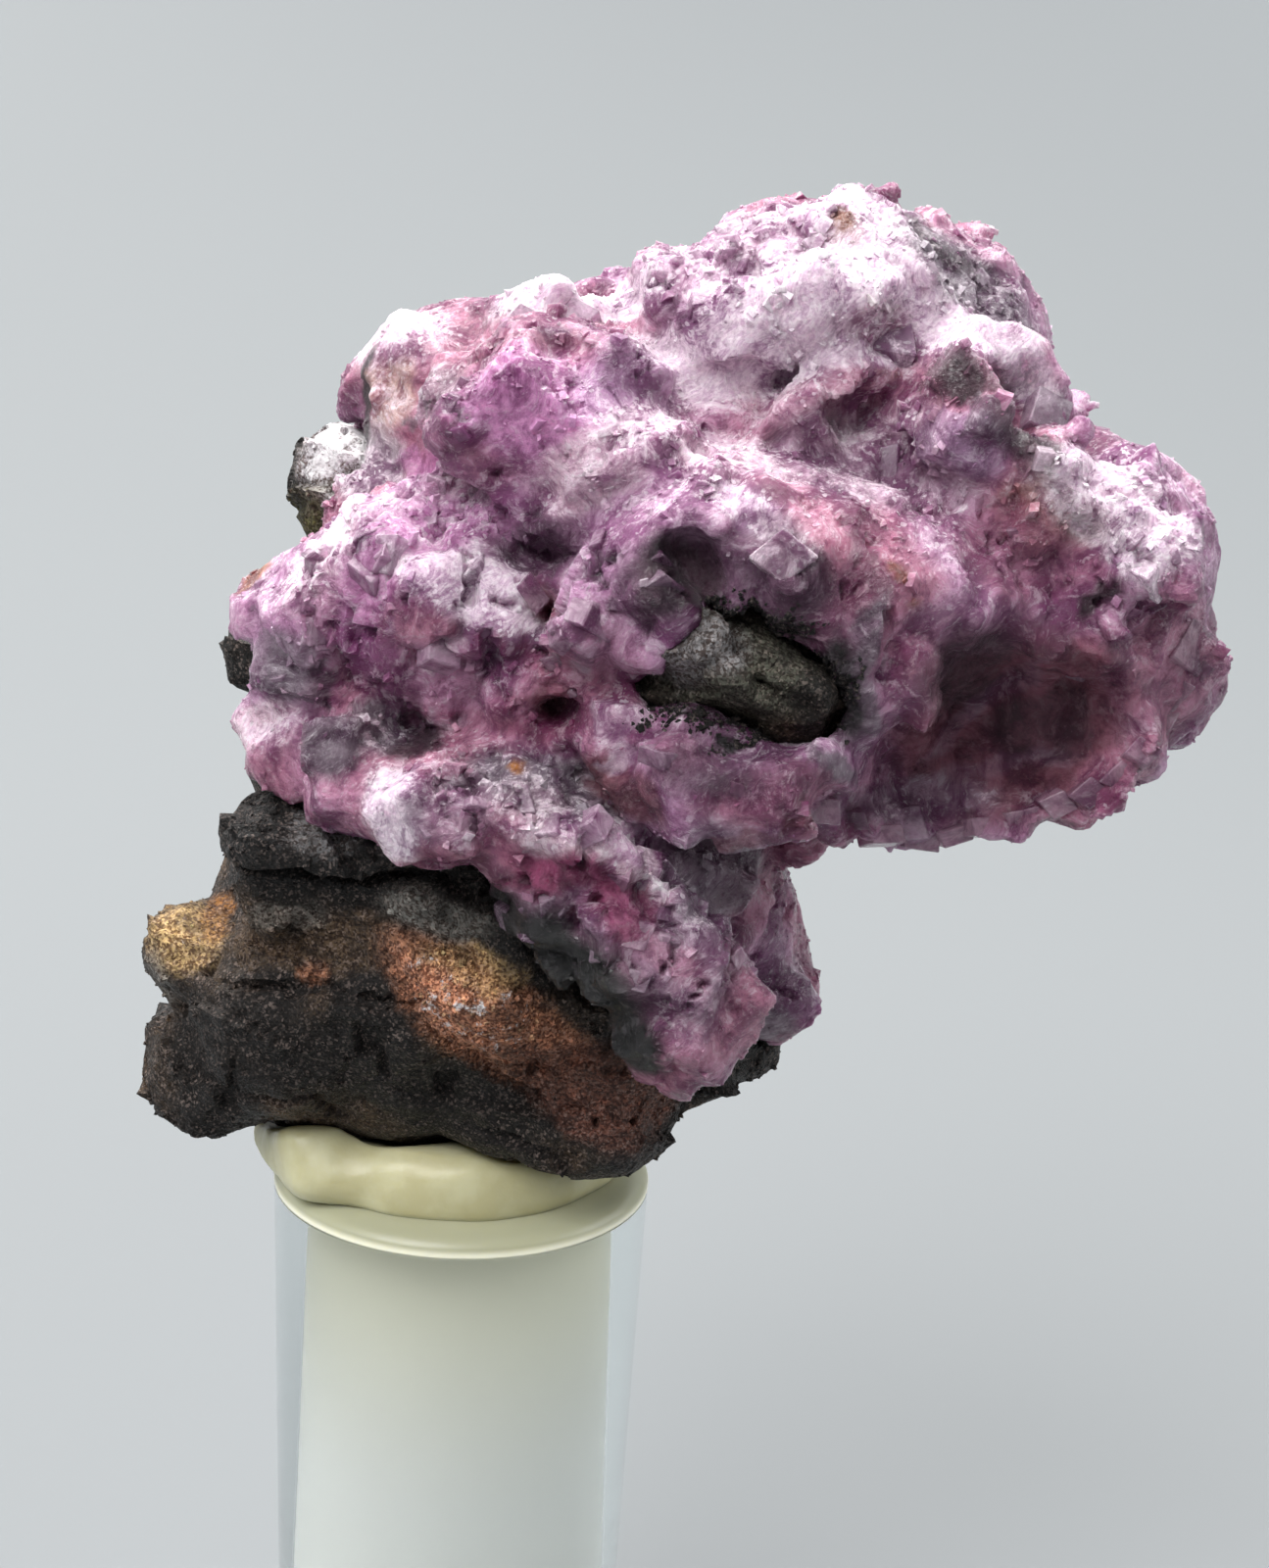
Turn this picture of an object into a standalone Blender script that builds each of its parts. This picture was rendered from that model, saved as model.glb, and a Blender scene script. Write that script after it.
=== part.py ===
"""Cobaltoan calcite specimen on a clear display post.

The specimen is laid out in millimetres from the middle of the post's top rim: x to the right,
y to the back, z up. Rounded lumps give the masses, pits are cut out of them, and calcite
rhombohedra are fused to the surface.
"""

import math
import random

import bmesh
import bpy
from mathutils import Matrix, Vector, noise
from mathutils.bvhtree import BVHTree

MM = 0.001

# The post: a turned clear piece with a plain round foot and a blind bore
POST_RADIUS_TOP = 7.8 * MM
POST_RADIUS_LOW = 7.2 * MM
BORE_RADIUS = 4.0 * MM
FOOT_RADIUS = 13.0 * MM
FOOT_HEIGHT = 3.6 * MM
POST_TOP = 31.6 * MM
BORE_FLOOR = 6.0 * MM
EDGE_ROUND = 0.5 * MM

POST_STEPS = 48
CORE_SIDES = 28

# Touching pieces keep this gap, and the calcite and the putty a little more round the rock
GAP = 0.3 * MM
ROCK_ROOM = 1.3 * GAP

# Points closer than these are made one after a cut, and where a turned profile meets its axis
SLIVER = 0.003 * MM
AXIS_WELD = 0.05 * MM

# The specimen's seat on the rim, which its lumps are measured from
SEAT = Vector((0.0, 0.0, POST_TOP))

CALCITE_VOXEL = 0.8 * MM
ROCK_VOXEL = 0.7 * MM
PIT_VOXEL = 0.3 * MM
CALCITE_TRIANGLES = 1700
ROCK_TRIANGLES = 1700
PIT_TRIANGLES = 600
PAT_VOXEL = 0.5 * MM
PAT_TRIANGLES = 420
CRYSTAL_TRIANGLES = 5400

# How high and how long the waves on a mass's surface are
CALCITE_WAVES = (1.0 * MM, 2.6 * MM)
ROCK_WAVES = (1.2 * MM, 3.6 * MM)
PIT_WAVES = (0.2 * MM, 1.5 * MM)
PAT_WAVES = (0.4 * MM, 2.5 * MM)

# The finer waves on each mass, as shares of those heights and lengths
FINE_HEIGHT = 0.4
FINE_LENGTH = 0.35

# How square a mass's lumps are: 2 is a ball
CALCITE_ORDER = 2.8
ROCK_ORDER = 3.6
PIT_ORDER = 2.0
PAT_ORDER = 2.2

# The putty's core rises this far into its pat, and a slab of this size trims the pat's under side
CORE_RISE = 3.0 * MM
TRIM_SLAB = 20.0 * MM

# Single crystals are looked for along lines that start this far in front, or near this depth
SIGHT_START = -60.0
SIGHT_DEPTH = -2.0
SINGLE_SUNK = 0.3

# The row of small crystals round the right lobe's lower edge: from one angle on through a sweep
RIM_CRYSTALS = 12
RIM_MIDDLE = Vector((19.0, -3.0, 24.0))
RIM_REACH = 9.0
RIM_START = -8.0
RIM_SWEEP = 130.0
RIM_LEAN = -0.25
RIM_EDGE = 1.7 * MM
RIM_STRETCH = 0.9
RIM_SPIN = 47.0

# Crystals set over the rest of the calcite
SCATTERED_CRYSTALS = 72
CRYSTAL_SEED = 11
CRYSTAL_SPACING = 3.8 * MM
CRYSTAL_EDGES = (2.2 * MM, 4.2 * MM)
CRYSTAL_STRETCHES = (0.7, 1.1)
CRYSTAL_TILT = 0.5
SCATTERED_SUNK = 0.38

# name: (middle), (half-widths), turn about the front-to-back axis in degrees
CALCITE_LUMPS = {
    "core": ((12.0, 3.0, 27.0), (12.0, 10.0, 8.0), -12),
    "crown middle": ((12.6, 2.5, 35.6), (6.0, 6.5, 4.2), 4),
    "crown peak": ((13.2, 2.0, 38.2), (2.6, 3.4, 2.2), 30),
    "crown left": ((8.4, 2.0, 34.6), (4.0, 5.6, 3.2), 20),
    "crown right": ((17.3, 4.0, 34.8), (4.6, 6.0, 4.0), -38),
    "right cheek": ((18.4, -3.6, 31.4), (3.6, 4.6, 3.6), -30),
    "upper left lobe": ((3.0, -1.6, 31.6), (4.7, 6.5, 3.6), 10),
    "central ridge": ((7.0, -6.4, 29.8), (7.0, 3.4, 2.0), -10),
    "front bulge": ((11.0, -7.0, 26.0), (8.0, 6.0, 4.6), -8),
    "front foot": ((9.6, -8.6, 20.6), (4.6, 5.0, 2.6), 8),
    "right lobe": ((21.6, -0.5, 26.2), (6.0, 8.5, 6.4), -24),
    "right tip": ((25.0, 0.5, 23.4), (3.8, 6.0, 3.8), 14),
    "right rim": ((18.4, -3.5, 20.6), (8.0, 8.0, 3.4), 14),
    "left crystals": ((-1.2, -3.4, 24.6), (5.2, 6.0, 4.2), 20),
    "left edge": ((-4.8, -2.0, 22.4), (3.4, 5.5, 4.2), 20),
    "left low": ((-5.2, -3.0, 18.8), (3.4, 4.6, 2.6), 0),
    "middle crystals": ((4.6, -6.0, 23.6), (4.4, 4.4, 4.6), 0),
    "banded mass": ((-1.8, 7.0, 30.2), (4.6, 5.0, 4.8), 30),
    "banded top": ((3.8, 7.0, 33.2), (4.4, 5.0, 3.0), 14),
    "banded low": ((-4.6, 6.0, 25.4), (2.8, 4.4, 5.0), 10),
    "back mass": ((10.0, 11.0, 26.0), (9.5, 5.0, 8.0), 0),
    "ledge start": ((-1.0, -8.0, 18.2), (3.6, 4.4, 1.9), 0),
    "ledge shelf": ((2.8, -8.5, 17.8), (3.4, 4.6, 2.0), -20),
    "ledge lip": ((5.2, -9.2, 15.9), (2.8, 4.2, 2.2), -40),
    "ledge turn": ((7.2, -9.6, 13.8), (2.5, 4.0, 2.3), -50),
    "ledge end": ((8.8, -8.8, 11.0), (2.0, 4.0, 2.8), -80),
    "neck": ((7.6, -2.6, 17.2), (4.2, 6.0, 4.4), 0),
    "back stem": ((9.4, -0.5, 13.0), (3.2, 5.0, 5.0), 20),
    "back toe": ((11.4, 0.0, 9.2), (2.4, 3.4, 2.6), 20),
}

ROCK_LUMPS = {
    "rock body": ((-2.8, 0.0, 8.4), (8.8, 8.2, 6.2), 8),
    "rock right": ((3.6, -0.5, 6.4), (6.4, 7.6, 4.2), -10),
    "rock keel": ((4.4, -4.8, 5.2), (4.0, 3.4, 2.5), 14),
    "rock heel": ((9.0, 1.0, 6.2), (4.0, 5.6, 2.6), 30),
    "rock left low": ((-8.8, 0.0, 5.0), (4.4, 5.6, 2.5), 4),
    "yellow knob": ((-10.2, -2.6, 9.8), (2.3, 2.8, 2.1), 0),
    "black shoulder": ((-4.8, -3.4, 14.4), (4.4, 5.4, 3.6), 0),
    "rock front": ((1.4, -5.4, 12.4), (6.4, 4.6, 4.0), -26),
    "rock back": ((0.5, 6.5, 13.5), (8.0, 5.6, 8.0), 0),
    "spine foot": ((-6.6, 5.0, 17.8), (2.4, 3.6, 4.6), -12),
    "spine": ((-5.6, 6.4, 25.2), (2.2, 3.4, 5.6), 14),
    "orange knob": ((-9.6, 3.6, 20.8), (1.5, 1.6, 1.2), 10),
    "knob stalk": ((-8.0, 4.6, 21.8), (1.8, 1.6, 1.2), 24),
    "rock heart": ((4.0, 3.6, 19.5), (5.4, 5.0, 5.0), 30),
    "window arm": ((8.0, -3.0, 23.4), (4.4, 7.0, 3.6), 0),
    "window face": ((10.4, -9.4, 23.6), (3.5, 3.4, 2.3), -8),
}

# Pits and hollows cut into the calcite
PITS = {
    "window frame": ((10.4, -13.4, 23.6), (3.7, 3.4, 2.4), -8),
    "recess behind lens": ((3.2, -9.6, 27.9), (2.0, 1.6, 1.0), -20),
    "black recess": ((7.8, -12.6, 27.4), (1.7, 2.4, 1.5), -30),
    "lens hole": ((3.0, -9.8, 25.2), (1.2, 2.6, 0.9), 35),
    "round hole": ((3.4, -9.8, 21.9), (1.3, 2.6, 1.0), 10),
    "side cavity": ((-1.8, -8.6, 20.6), (1.4, 2.8, 0.8), 0),
    "right pit": ((22.3, -9.0, 26.4), (0.6, 2.0, 1.0), -10),
    "pink hollow": ((19.8, -6.4, 33.6), (1.6, 2.4, 2.0), -50),
    "broken underside": ((19.4, -10.8, 20.4), (6.6, 5.6, 4.0), 28),
}

# The pat of putty that the rock is pressed into
PAT_LUMPS = {
    "pat": ((-0.6, -0.4, 1.2), (8.6, 8.0, 2.3), 0),
    "pat left": ((-5.6, -1.5, 2.2), (3.4, 4.6, 1.8), -18),
    "pat front": ((-1.0, -5.4, 1.0), (5.0, 2.9, 1.5), 0),
}

# Crystals that stand out, by where they show from the front: (x, z), edge, stretch along the
# axis, axis (right, back, up), spin in degrees
SINGLE_CRYSTALS = {
    "magenta block": ((1.8, 32.2), 4.6, 0.8, (-0.2, -0.8, 0.6), 35),
    "left twin tip": ((1.2, 34.6), 1.5, 1.5, (-0.1, 0.1, 1.0), 0),
    "right twin tip": ((3.1, 34.9), 1.5, 1.5, (0.1, 0.1, 1.0), 40),
    "clear block": ((-1.2, 32.0), 2.6, 0.9, (-0.6, -0.2, 0.8), 75),
    "lilac block": ((-1.2, 29.6), 3.2, 0.8, (-0.7, -0.6, 0.2), 30),
    "pink block": ((7.2, 35.9), 3.2, 0.8, (-0.5, -0.3, 0.8), 10),
    "small block": ((9.2, 37.4), 2.0, 0.9, (-0.5, 0.2, 0.8), 50),
    "peak crystal": ((13.0, 38.4), 3.0, 0.9, (0.0, -0.3, 1.0), 15),
    "white plate": ((15.4, 37.4), 2.6, 0.6, (0.4, -0.4, 0.9), 60),
    "shell flake": ((14.2, 34.0), 2.6, 0.5, (0.3, -0.8, 0.5), 5),
    "vein crystal": ((17.0, 35.6), 2.4, 0.7, (0.5, -0.5, 0.7), 80),
    "dark faced crystal": ((17.2, 33.2), 3.8, 1.0, (0.3, -0.9, 0.3), 85),
    "clear tip": ((20.8, 32.2), 2.6, 1.2, (0.9, -0.3, 0.2), 25),
    "dark spikes": ((20.6, 30.8), 1.8, 1.2, (0.8, -0.2, 0.6), 70),
    "white tip": ((11.0, 28.0), 2.4, 1.1, (0.2, -0.9, -0.3), 10),
    "left knob high": ((-4.6, 26.4), 2.6, 0.8, (-0.8, -0.5, 0.4), 35),
    "left knob low": ((-5.8, 24.0), 2.8, 0.8, (-0.9, -0.4, 0.1), 70),
    "long lilac crystal": ((-2.6, 28.0), 1.8, 1.3, (-0.5, -0.8, 0.3), 5),
    "bright facet": ((0.2, 26.7), 1.7, 0.9, (0.0, -0.9, 0.5), 45),
    "glassy crystal": ((-0.6, 24.9), 4.0, 0.8, (-0.2, -0.9, 0.5), 15),
    "mauve facet": ((-6.8, 21.4), 3.4, 0.8, (-0.9, -0.5, 0.0), 50),
    "mauve crystal": ((-4.4, 18.9), 3.0, 0.9, (-0.5, -0.9, -0.2), 25),
    "grey crystal": ((-6.4, 18.2), 2.6, 0.9, (-0.9, -0.4, 0.1), 65),
    "edged crystal": ((0.0, 21.9), 2.4, 0.9, (-0.2, -1.0, 0.1), 80),
    "clear rhomb": ((4.4, 25.4), 2.6, 1.5, (0.5, -0.7, -0.5), 30),
    "down prism": ((5.4, 20.6), 2.2, 1.7, (0.3, -0.6, -0.9), 12),
    "pale fibres": ((10.6, 20.6), 2.8, 1.0, (0.3, -0.8, -0.5), 60),
    "sharp corner": ((9.0, 19.4), 3.8, 0.9, (-0.2, -0.7, -0.7), 48),
    "right point": ((26.4, 23.6), 2.8, 1.0, (1.0, -0.2, 0.0), 35),
    "right shoulder": ((24.4, 28.6), 3.4, 0.8, (0.6, -0.4, 0.7), 20),
    "right brow": ((20.8, 29.6), 3.0, 0.8, (0.2, -0.8, 0.6), 65),
    "shelf left": ((-0.8, 18.6), 2.6, 0.8, (-0.2, -0.8, 0.6), 15),
    "shelf middle": ((1.8, 18.4), 2.8, 0.8, (0.1, -0.9, 0.5), 50),
    "shelf right": ((4.2, 17.4), 2.6, 0.8, (0.2, -0.9, 0.3), 85),
    "saturated facet": ((3.4, 15.2), 2.6, 0.8, (-0.3, -0.9, -0.4), 30),
    "deep pink facet": ((6.2, 14.0), 2.8, 0.8, (-0.2, -0.9, -0.3), 55),
    "white patch": ((8.6, 14.6), 2.0, 0.9, (0.4, -0.8, 0.5), 10),
    "lower block": ((8.6, 11.2), 3.4, 0.9, (0.2, -0.9, 0.0), 35),
    "lower toe": ((9.4, 9.0), 2.4, 1.0, (0.3, -0.7, -0.6), 75),
    "back block": ((10.6, 13.4), 3.2, 0.9, (0.8, -0.5, 0.1), 20),
    "rounded end": ((12.0, 8.9), 2.2, 1.4, (0.9, -0.3, -0.1), 60),
}


def clear_scene():
    for item in list(bpy.data.objects):
        bpy.data.objects.remove(item)


def new_collection(name, hidden=False):
    made = bpy.data.collections.new(name)
    made.hide_render = hidden
    bpy.context.scene.collection.children.link(made)
    return made


def finish_of(name, colour, roughness, transmission=0.0, ior=1.5):
    made = bpy.data.materials.new(name)
    made.use_nodes = True
    shader = made.node_tree.nodes["Principled BSDF"]
    shader.inputs["Base Color"].default_value = (*colour, 1.0)
    shader.inputs["Roughness"].default_value = roughness
    shader.inputs["Metallic"].default_value = 0.0
    shader.inputs["Transmission Weight"].default_value = transmission
    shader.inputs["IOR"].default_value = ior
    made.diffuse_color = (*colour, 1.0)
    return made


def add_object(name, body, collection, material=None):
    """An object holding the bmesh, which is used up."""
    mesh = bpy.data.meshes.new(name)
    body.to_mesh(mesh)
    body.free()
    if material:
        mesh.materials.append(material)
    item = bpy.data.objects.new(name, mesh)
    collection.objects.link(item)
    return item


def add_guide(name, body, collection):
    item = add_object(name, body, collection)
    item.hide_render = True
    item.display_type = "WIRE"
    return item


def evaluated_mesh(item):
    """The object's mesh with its modifiers worked in."""
    bpy.context.view_layer.update()
    graph = bpy.context.evaluated_depsgraph_get()
    return bpy.data.meshes.new_from_object(item.evaluated_get(graph))


def rolled(degrees):
    """A turn about the front-to-back axis that lifts the right side when positive."""
    return Matrix.Rotation(-math.radians(degrees), 4, "Y")


def blocky(out, order):
    """The point of a rounded box in this direction: order 2 is a ball, and more is squarer."""
    reach = sum(abs(part) ** order for part in out) ** (1.0 / order)
    corner = 3.0 ** (0.5 - 1.0 / order)
    return out / (reach * (0.5 + 0.5 * corner))


def add_lumps(body, lumps, waves, order):
    """Adds a wavy rounded box for each lump, in metres from the world origin."""
    high, long = waves
    draw = random.Random(7)
    for middle, half, turn in lumps.values():
        place = Matrix.Translation(SEAT + Vector(middle) * MM) @ rolled(turn)
        stretch = Matrix.Diagonal((*(Vector(half) * MM), 1.0))
        skew = Matrix.Rotation(draw.uniform(0.0, math.pi), 3, draw.choice("XYZ"))
        made = bmesh.ops.create_icosphere(body, subdivisions=4, radius=1.0)
        for vert in made["verts"]:
            out = vert.co.copy()
            squarer = skew.transposed() @ blocky(skew @ out, order)
            vert.co = place @ (stretch @ squarer)
            vert.co += out * high * noise.noise(vert.co / long)
            vert.co += out * FINE_HEIGHT * high * noise.noise(vert.co / (FINE_LENGTH * long))


def fused(name, lumps, voxel, triangles, waves, order, collection, material=None):
    """The lumps made one closed body, with about the given number of triangles."""
    body = bmesh.new()
    add_lumps(body, lumps, waves, order)
    item = add_object(name, body, collection, material)
    remesh = item.modifiers.new("one body", "REMESH")
    remesh.mode = "VOXEL"
    remesh.voxel_size = voxel
    whole = len(evaluated_mesh(item).polygons)
    thin = item.modifiers.new("fewer faces", "DECIMATE")
    thin.ratio = min(1.0, triangles / (2.0 * whole))
    return item


def baked(item):
    """Puts the evaluated mesh in place of the object's own mesh and modifiers."""
    mesh = evaluated_mesh(item)
    item.modifiers.clear()
    item.data = mesh
    return item


def keep_largest(item):
    """Removes every island of the mesh but the one with the most vertices, and welds slivers."""
    body = bmesh.new()
    body.from_mesh(item.data)
    left = set(body.verts)
    islands = []
    while left:
        front = [left.pop()]
        island = list(front)
        while front:
            vert = front.pop()
            for edge in vert.link_edges:
                other = edge.other_vert(vert)
                if other in left:
                    left.remove(other)
                    front.append(other)
                    island.append(other)
        islands.append(island)
    islands.sort(key=len, reverse=True)
    for island in islands[1:]:
        bmesh.ops.delete(body, geom=island, context="VERTS")
    bmesh.ops.triangulate(body, faces=body.faces, quad_method="FIXED", ngon_method="BEAUTY")
    bmesh.ops.remove_doubles(body, verts=body.verts, dist=SLIVER)
    bmesh.ops.dissolve_degenerate(body, edges=body.edges, dist=SLIVER)
    body.to_mesh(item.data)
    body.free()


def boolean(item, name, operation, other):
    cut = item.modifiers.new(name, "BOOLEAN")
    cut.operation = operation
    cut.object = other
    return cut


def swollen(name, item, by, collection):
    """A guide copy of the object with its surface moved out, which leaves a gap where it cuts."""
    body = bmesh.new()
    body.from_mesh(item.data)
    guide = add_guide(name, body, collection)
    push = guide.modifiers.new("gap", "DISPLACE")
    push.strength = by
    push.mid_level = 0.0
    return guide


def crystal_matrix(surface, axis, edge, stretch, spin, sunk=0.0):
    """Turns a unit cube into a calcite rhombohedron: stood on a corner, then stretched on its axis.

    The surface is the point and normal that it grows from, and sunk is how deep its middle lies
    under that point, in edges.
    """
    place, normal = surface
    upright = Vector((1, 1, 1)).rotation_difference(Vector((0, 0, 1))).to_matrix().to_4x4()
    turn = Vector((0, 0, 1)).rotation_difference(Vector(axis)).to_matrix().to_4x4()
    shape = Matrix.Diagonal((1.0, 1.0, stretch, 1.0)) @ upright @ Matrix.Scale(edge, 4)
    middle = Matrix.Translation(place - normal * (sunk * edge))
    return middle @ turn @ Matrix.Rotation(math.radians(spin), 4, "Z") @ shape


def single_crystals(tree):
    """The named crystals, each where a line from the front meets the mass."""
    for (across, up), edge, stretch, axis, spin in SINGLE_CRYSTALS.values():
        start = SEAT + Vector((across, SIGHT_START, up)) * MM
        surface = tree.ray_cast(start, Vector((0, 1, 0)))[:2]
        if surface[0] is None:
            surface = tree.find_nearest(SEAT + Vector((across, SIGHT_DEPTH, up)) * MM)[:2]
        yield crystal_matrix(surface, axis, edge * MM, stretch, spin, SINGLE_SUNK)


def rim_crystals(tree):
    """A row of small crystals along the scalloped lower edge of the right lobe."""
    for step in range(RIM_CRYSTALS):
        angle = math.radians(RIM_START - RIM_SWEEP * step / (RIM_CRYSTALS - 1))
        out = Vector((math.cos(angle), RIM_LEAN, math.sin(angle)))
        surface = tree.find_nearest(SEAT + (RIM_MIDDLE + out * RIM_REACH) * MM)[:2]
        edge = RIM_EDGE * (1.0 + 0.25 * (step % 3))
        yield crystal_matrix(surface, out, edge, RIM_STRETCH, RIM_SPIN * step, SCATTERED_SUNK)


def scattered_crystals(spots):
    """Crystals set over the rest of the surface, no two closer than their spacing."""
    draw = random.Random(CRYSTAL_SEED)
    chosen = []
    by_area = sorted(spots, key=lambda spot: -math.log(1.0 - draw.random()) / spot[2])
    for place, normal, _ in by_area:
        if len(chosen) == SCATTERED_CRYSTALS:
            break
        if any((place - other).length < CRYSTAL_SPACING for other in chosen):
            continue
        chosen.append(place)
        axis = normal + Vector([draw.uniform(-CRYSTAL_TILT, CRYSTAL_TILT) for _ in range(3)])
        edge = draw.uniform(*CRYSTAL_EDGES)
        stretch = draw.uniform(*CRYSTAL_STRETCHES)
        yield crystal_matrix((place, normal), axis, edge, stretch, draw.uniform(0, 120), SCATTERED_SUNK)


def add_crystals(item):
    """Fuses the crystals to the calcite."""
    body = bmesh.new()
    body.from_mesh(item.data)
    tree = BVHTree.FromBMesh(body)
    spots = [(face.calc_center_median(), face.normal.copy(), face.calc_area()) for face in body.faces]
    body.free()
    found = [*single_crystals(tree), *rim_crystals(tree), *scattered_crystals(spots)]
    group = new_collection("crystals to fuse", hidden=True)
    for number, matrix in enumerate(found):
        body = bmesh.new()
        bmesh.ops.create_cube(body, size=1.0, matrix=matrix)
        add_guide(f"crystal_{number:03d}", body, group)
    join = item.modifiers.new("crystals", "BOOLEAN")
    join.operation = "UNION"
    join.operand_type = "COLLECTION"
    join.collection = group


def thinned(item, triangles):
    """Leaves the object about the given number of triangles."""
    whole = sum(len(face.vertices) - 2 for face in evaluated_mesh(item).polygons)
    thin = item.modifiers.new("fewer faces", "DECIMATE")
    thin.ratio = min(1.0, triangles / whole)


def turned(name, profile, collection, material=None):
    """A profile of (radius, height) points, outer side first from the top down, turned about z."""
    body = bmesh.new()
    verts = [body.verts.new((radius, 0.0, height)) for radius, height in profile]
    for first, second in zip(verts, verts[1:]):
        body.edges.new((first, second))
    item = add_object(name, body, collection, material)
    screw = item.modifiers.new("turned", "SCREW")
    screw.steps = screw.render_steps = POST_STEPS
    screw.use_merge_vertices = True
    screw.merge_threshold = AXIS_WELD
    return item


def post_profile():
    """The post from its rim down its side, over the foot, under it, and up the blind bore."""
    top, low = POST_RADIUS_TOP, POST_RADIUS_LOW
    r = EDGE_ROUND
    return [
        (0.0, BORE_FLOOR),
        (BORE_RADIUS, BORE_FLOOR),
        (BORE_RADIUS, POST_TOP - 0.4 * r),
        (BORE_RADIUS + 0.4 * r, POST_TOP),
        (top - r, POST_TOP),
        (top, POST_TOP - r),
        (low, FOOT_HEIGHT + 2.0 * r),
        (low + 0.6 * r, FOOT_HEIGHT + 0.6 * r),
        (low + 2.0 * r, FOOT_HEIGHT),
        (FOOT_RADIUS - r, FOOT_HEIGHT),
        (FOOT_RADIUS, FOOT_HEIGHT - r),
        (FOOT_RADIUS, r),
        (FOOT_RADIUS - r, 0.0),
        (0.0, 0.0),
    ]


def add_putty(rock, collection, guides, material):
    """The putty: a core that fills the bore, and a pat between the rim and the rock."""
    core = BORE_RADIUS - GAP
    body = bmesh.new()
    height = POST_TOP + CORE_RISE - (BORE_FLOOR + GAP)
    middle = Matrix.Translation((0.0, 0.0, BORE_FLOOR + GAP + 0.5 * height))
    bmesh.ops.create_cone(
        body, segments=CORE_SIDES, radius1=core, radius2=core, depth=height, cap_ends=True, matrix=middle
    )
    putty = add_object("mounting_putty", body, collection, material)
    pat = fused("pat", PAT_LUMPS, PAT_VOXEL, PAT_TRIANGLES, PAT_WAVES, PAT_ORDER, guides)
    pat.hide_render = True
    pat.display_type = "WIRE"
    body = bmesh.new()
    slab = Matrix.Translation((0.0, 0.0, POST_TOP + GAP - 0.5 * TRIM_SLAB)) @ Matrix.Scale(TRIM_SLAB, 4)
    bmesh.ops.create_cube(body, size=1.0, matrix=slab @ Matrix.Diagonal((2.0, 2.0, 1.0, 1.0)))
    boolean(pat, "flat under side", "DIFFERENCE", add_guide("under the rim", body, guides))
    baked(pat)
    boolean(putty, "pat", "UNION", pat)
    boolean(putty, "seat for the rock", "DIFFERENCE", rock)
    baked(putty)
    keep_largest(putty)
    return putty


def main():
    clear_scene()
    parts = new_collection("cobaltoan_calcite_specimen")
    guides = new_collection("cutters", hidden=True)
    pink = finish_of("lilac calcite", (0.62, 0.33, 0.50), 0.35)
    brown = finish_of("brown black rock", (0.10, 0.075, 0.06), 0.8)
    cream = finish_of("cream putty", (0.72, 0.70, 0.55), 0.45)
    clear = finish_of("clear post", (0.95, 0.97, 0.97), 0.03, transmission=1.0, ior=1.49)

    rock = fused(
        "matrix_rock", ROCK_LUMPS, ROCK_VOXEL, ROCK_TRIANGLES, ROCK_WAVES, ROCK_ORDER, parts, brown
    )
    baked(rock)
    calcite = fused(
        "calcite_crystals", CALCITE_LUMPS, CALCITE_VOXEL, CALCITE_TRIANGLES, CALCITE_WAVES, CALCITE_ORDER,
        parts, pink,
    )
    pits = fused("pits", PITS, PIT_VOXEL, PIT_TRIANGLES, PIT_WAVES, PIT_ORDER, guides)
    pits.hide_render = True
    pits.display_type = "WIRE"
    add_crystals(baked(calcite))
    boolean(calcite, "pits", "DIFFERENCE", pits)
    rock_room = swollen("rock room", rock, ROCK_ROOM, guides)
    boolean(calcite, "seat for the rock", "DIFFERENCE", rock_room)
    keep_largest(baked(calcite))
    thinned(calcite, CRYSTAL_TRIANGLES)

    turned("display_post", post_profile(), parts, clear)
    add_putty(rock_room, parts, guides, cream)


main()
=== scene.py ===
"""Dresses the cobaltoan calcite specimen: glassy pink crystals on dark rock, held by putty in a clear post.

All shapes are worked out in millimetres in the frame's own axes and written to the meshes in metres.
"""
import math

import bmesh
import bpy
import numpy as np
from mathutils import Matrix, Vector
from mathutils.bvhtree import BVHTree


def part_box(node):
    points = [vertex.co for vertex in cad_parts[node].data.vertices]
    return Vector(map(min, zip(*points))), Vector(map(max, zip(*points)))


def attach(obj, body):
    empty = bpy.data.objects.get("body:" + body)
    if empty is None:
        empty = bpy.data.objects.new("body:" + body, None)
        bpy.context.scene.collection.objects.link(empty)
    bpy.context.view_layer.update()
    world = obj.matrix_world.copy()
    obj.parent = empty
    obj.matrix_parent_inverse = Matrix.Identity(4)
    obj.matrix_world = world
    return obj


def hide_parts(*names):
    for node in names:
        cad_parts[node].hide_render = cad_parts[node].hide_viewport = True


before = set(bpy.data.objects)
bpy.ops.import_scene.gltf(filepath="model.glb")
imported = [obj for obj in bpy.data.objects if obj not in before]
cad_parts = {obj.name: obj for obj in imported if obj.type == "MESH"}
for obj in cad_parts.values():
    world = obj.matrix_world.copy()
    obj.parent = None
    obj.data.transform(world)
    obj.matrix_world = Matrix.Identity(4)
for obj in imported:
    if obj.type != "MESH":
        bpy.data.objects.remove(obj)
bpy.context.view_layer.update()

MM = 0.001

# The photograph's camera: it looks along +Y, tipped down and rolled a little
PHOTO_WIDTH = 1295
PHOTO_HEIGHT = 1600
LENS = 49.5
SENSOR = 36.0
CAMERA_PLACE = np.array((6.33, -83.75, 69.37))
PITCH = math.radians(14.0)
ROLL = math.radians(3.1)
PIXELS_PER_SLOPE = LENS / SENSOR * PHOTO_HEIGHT

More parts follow.
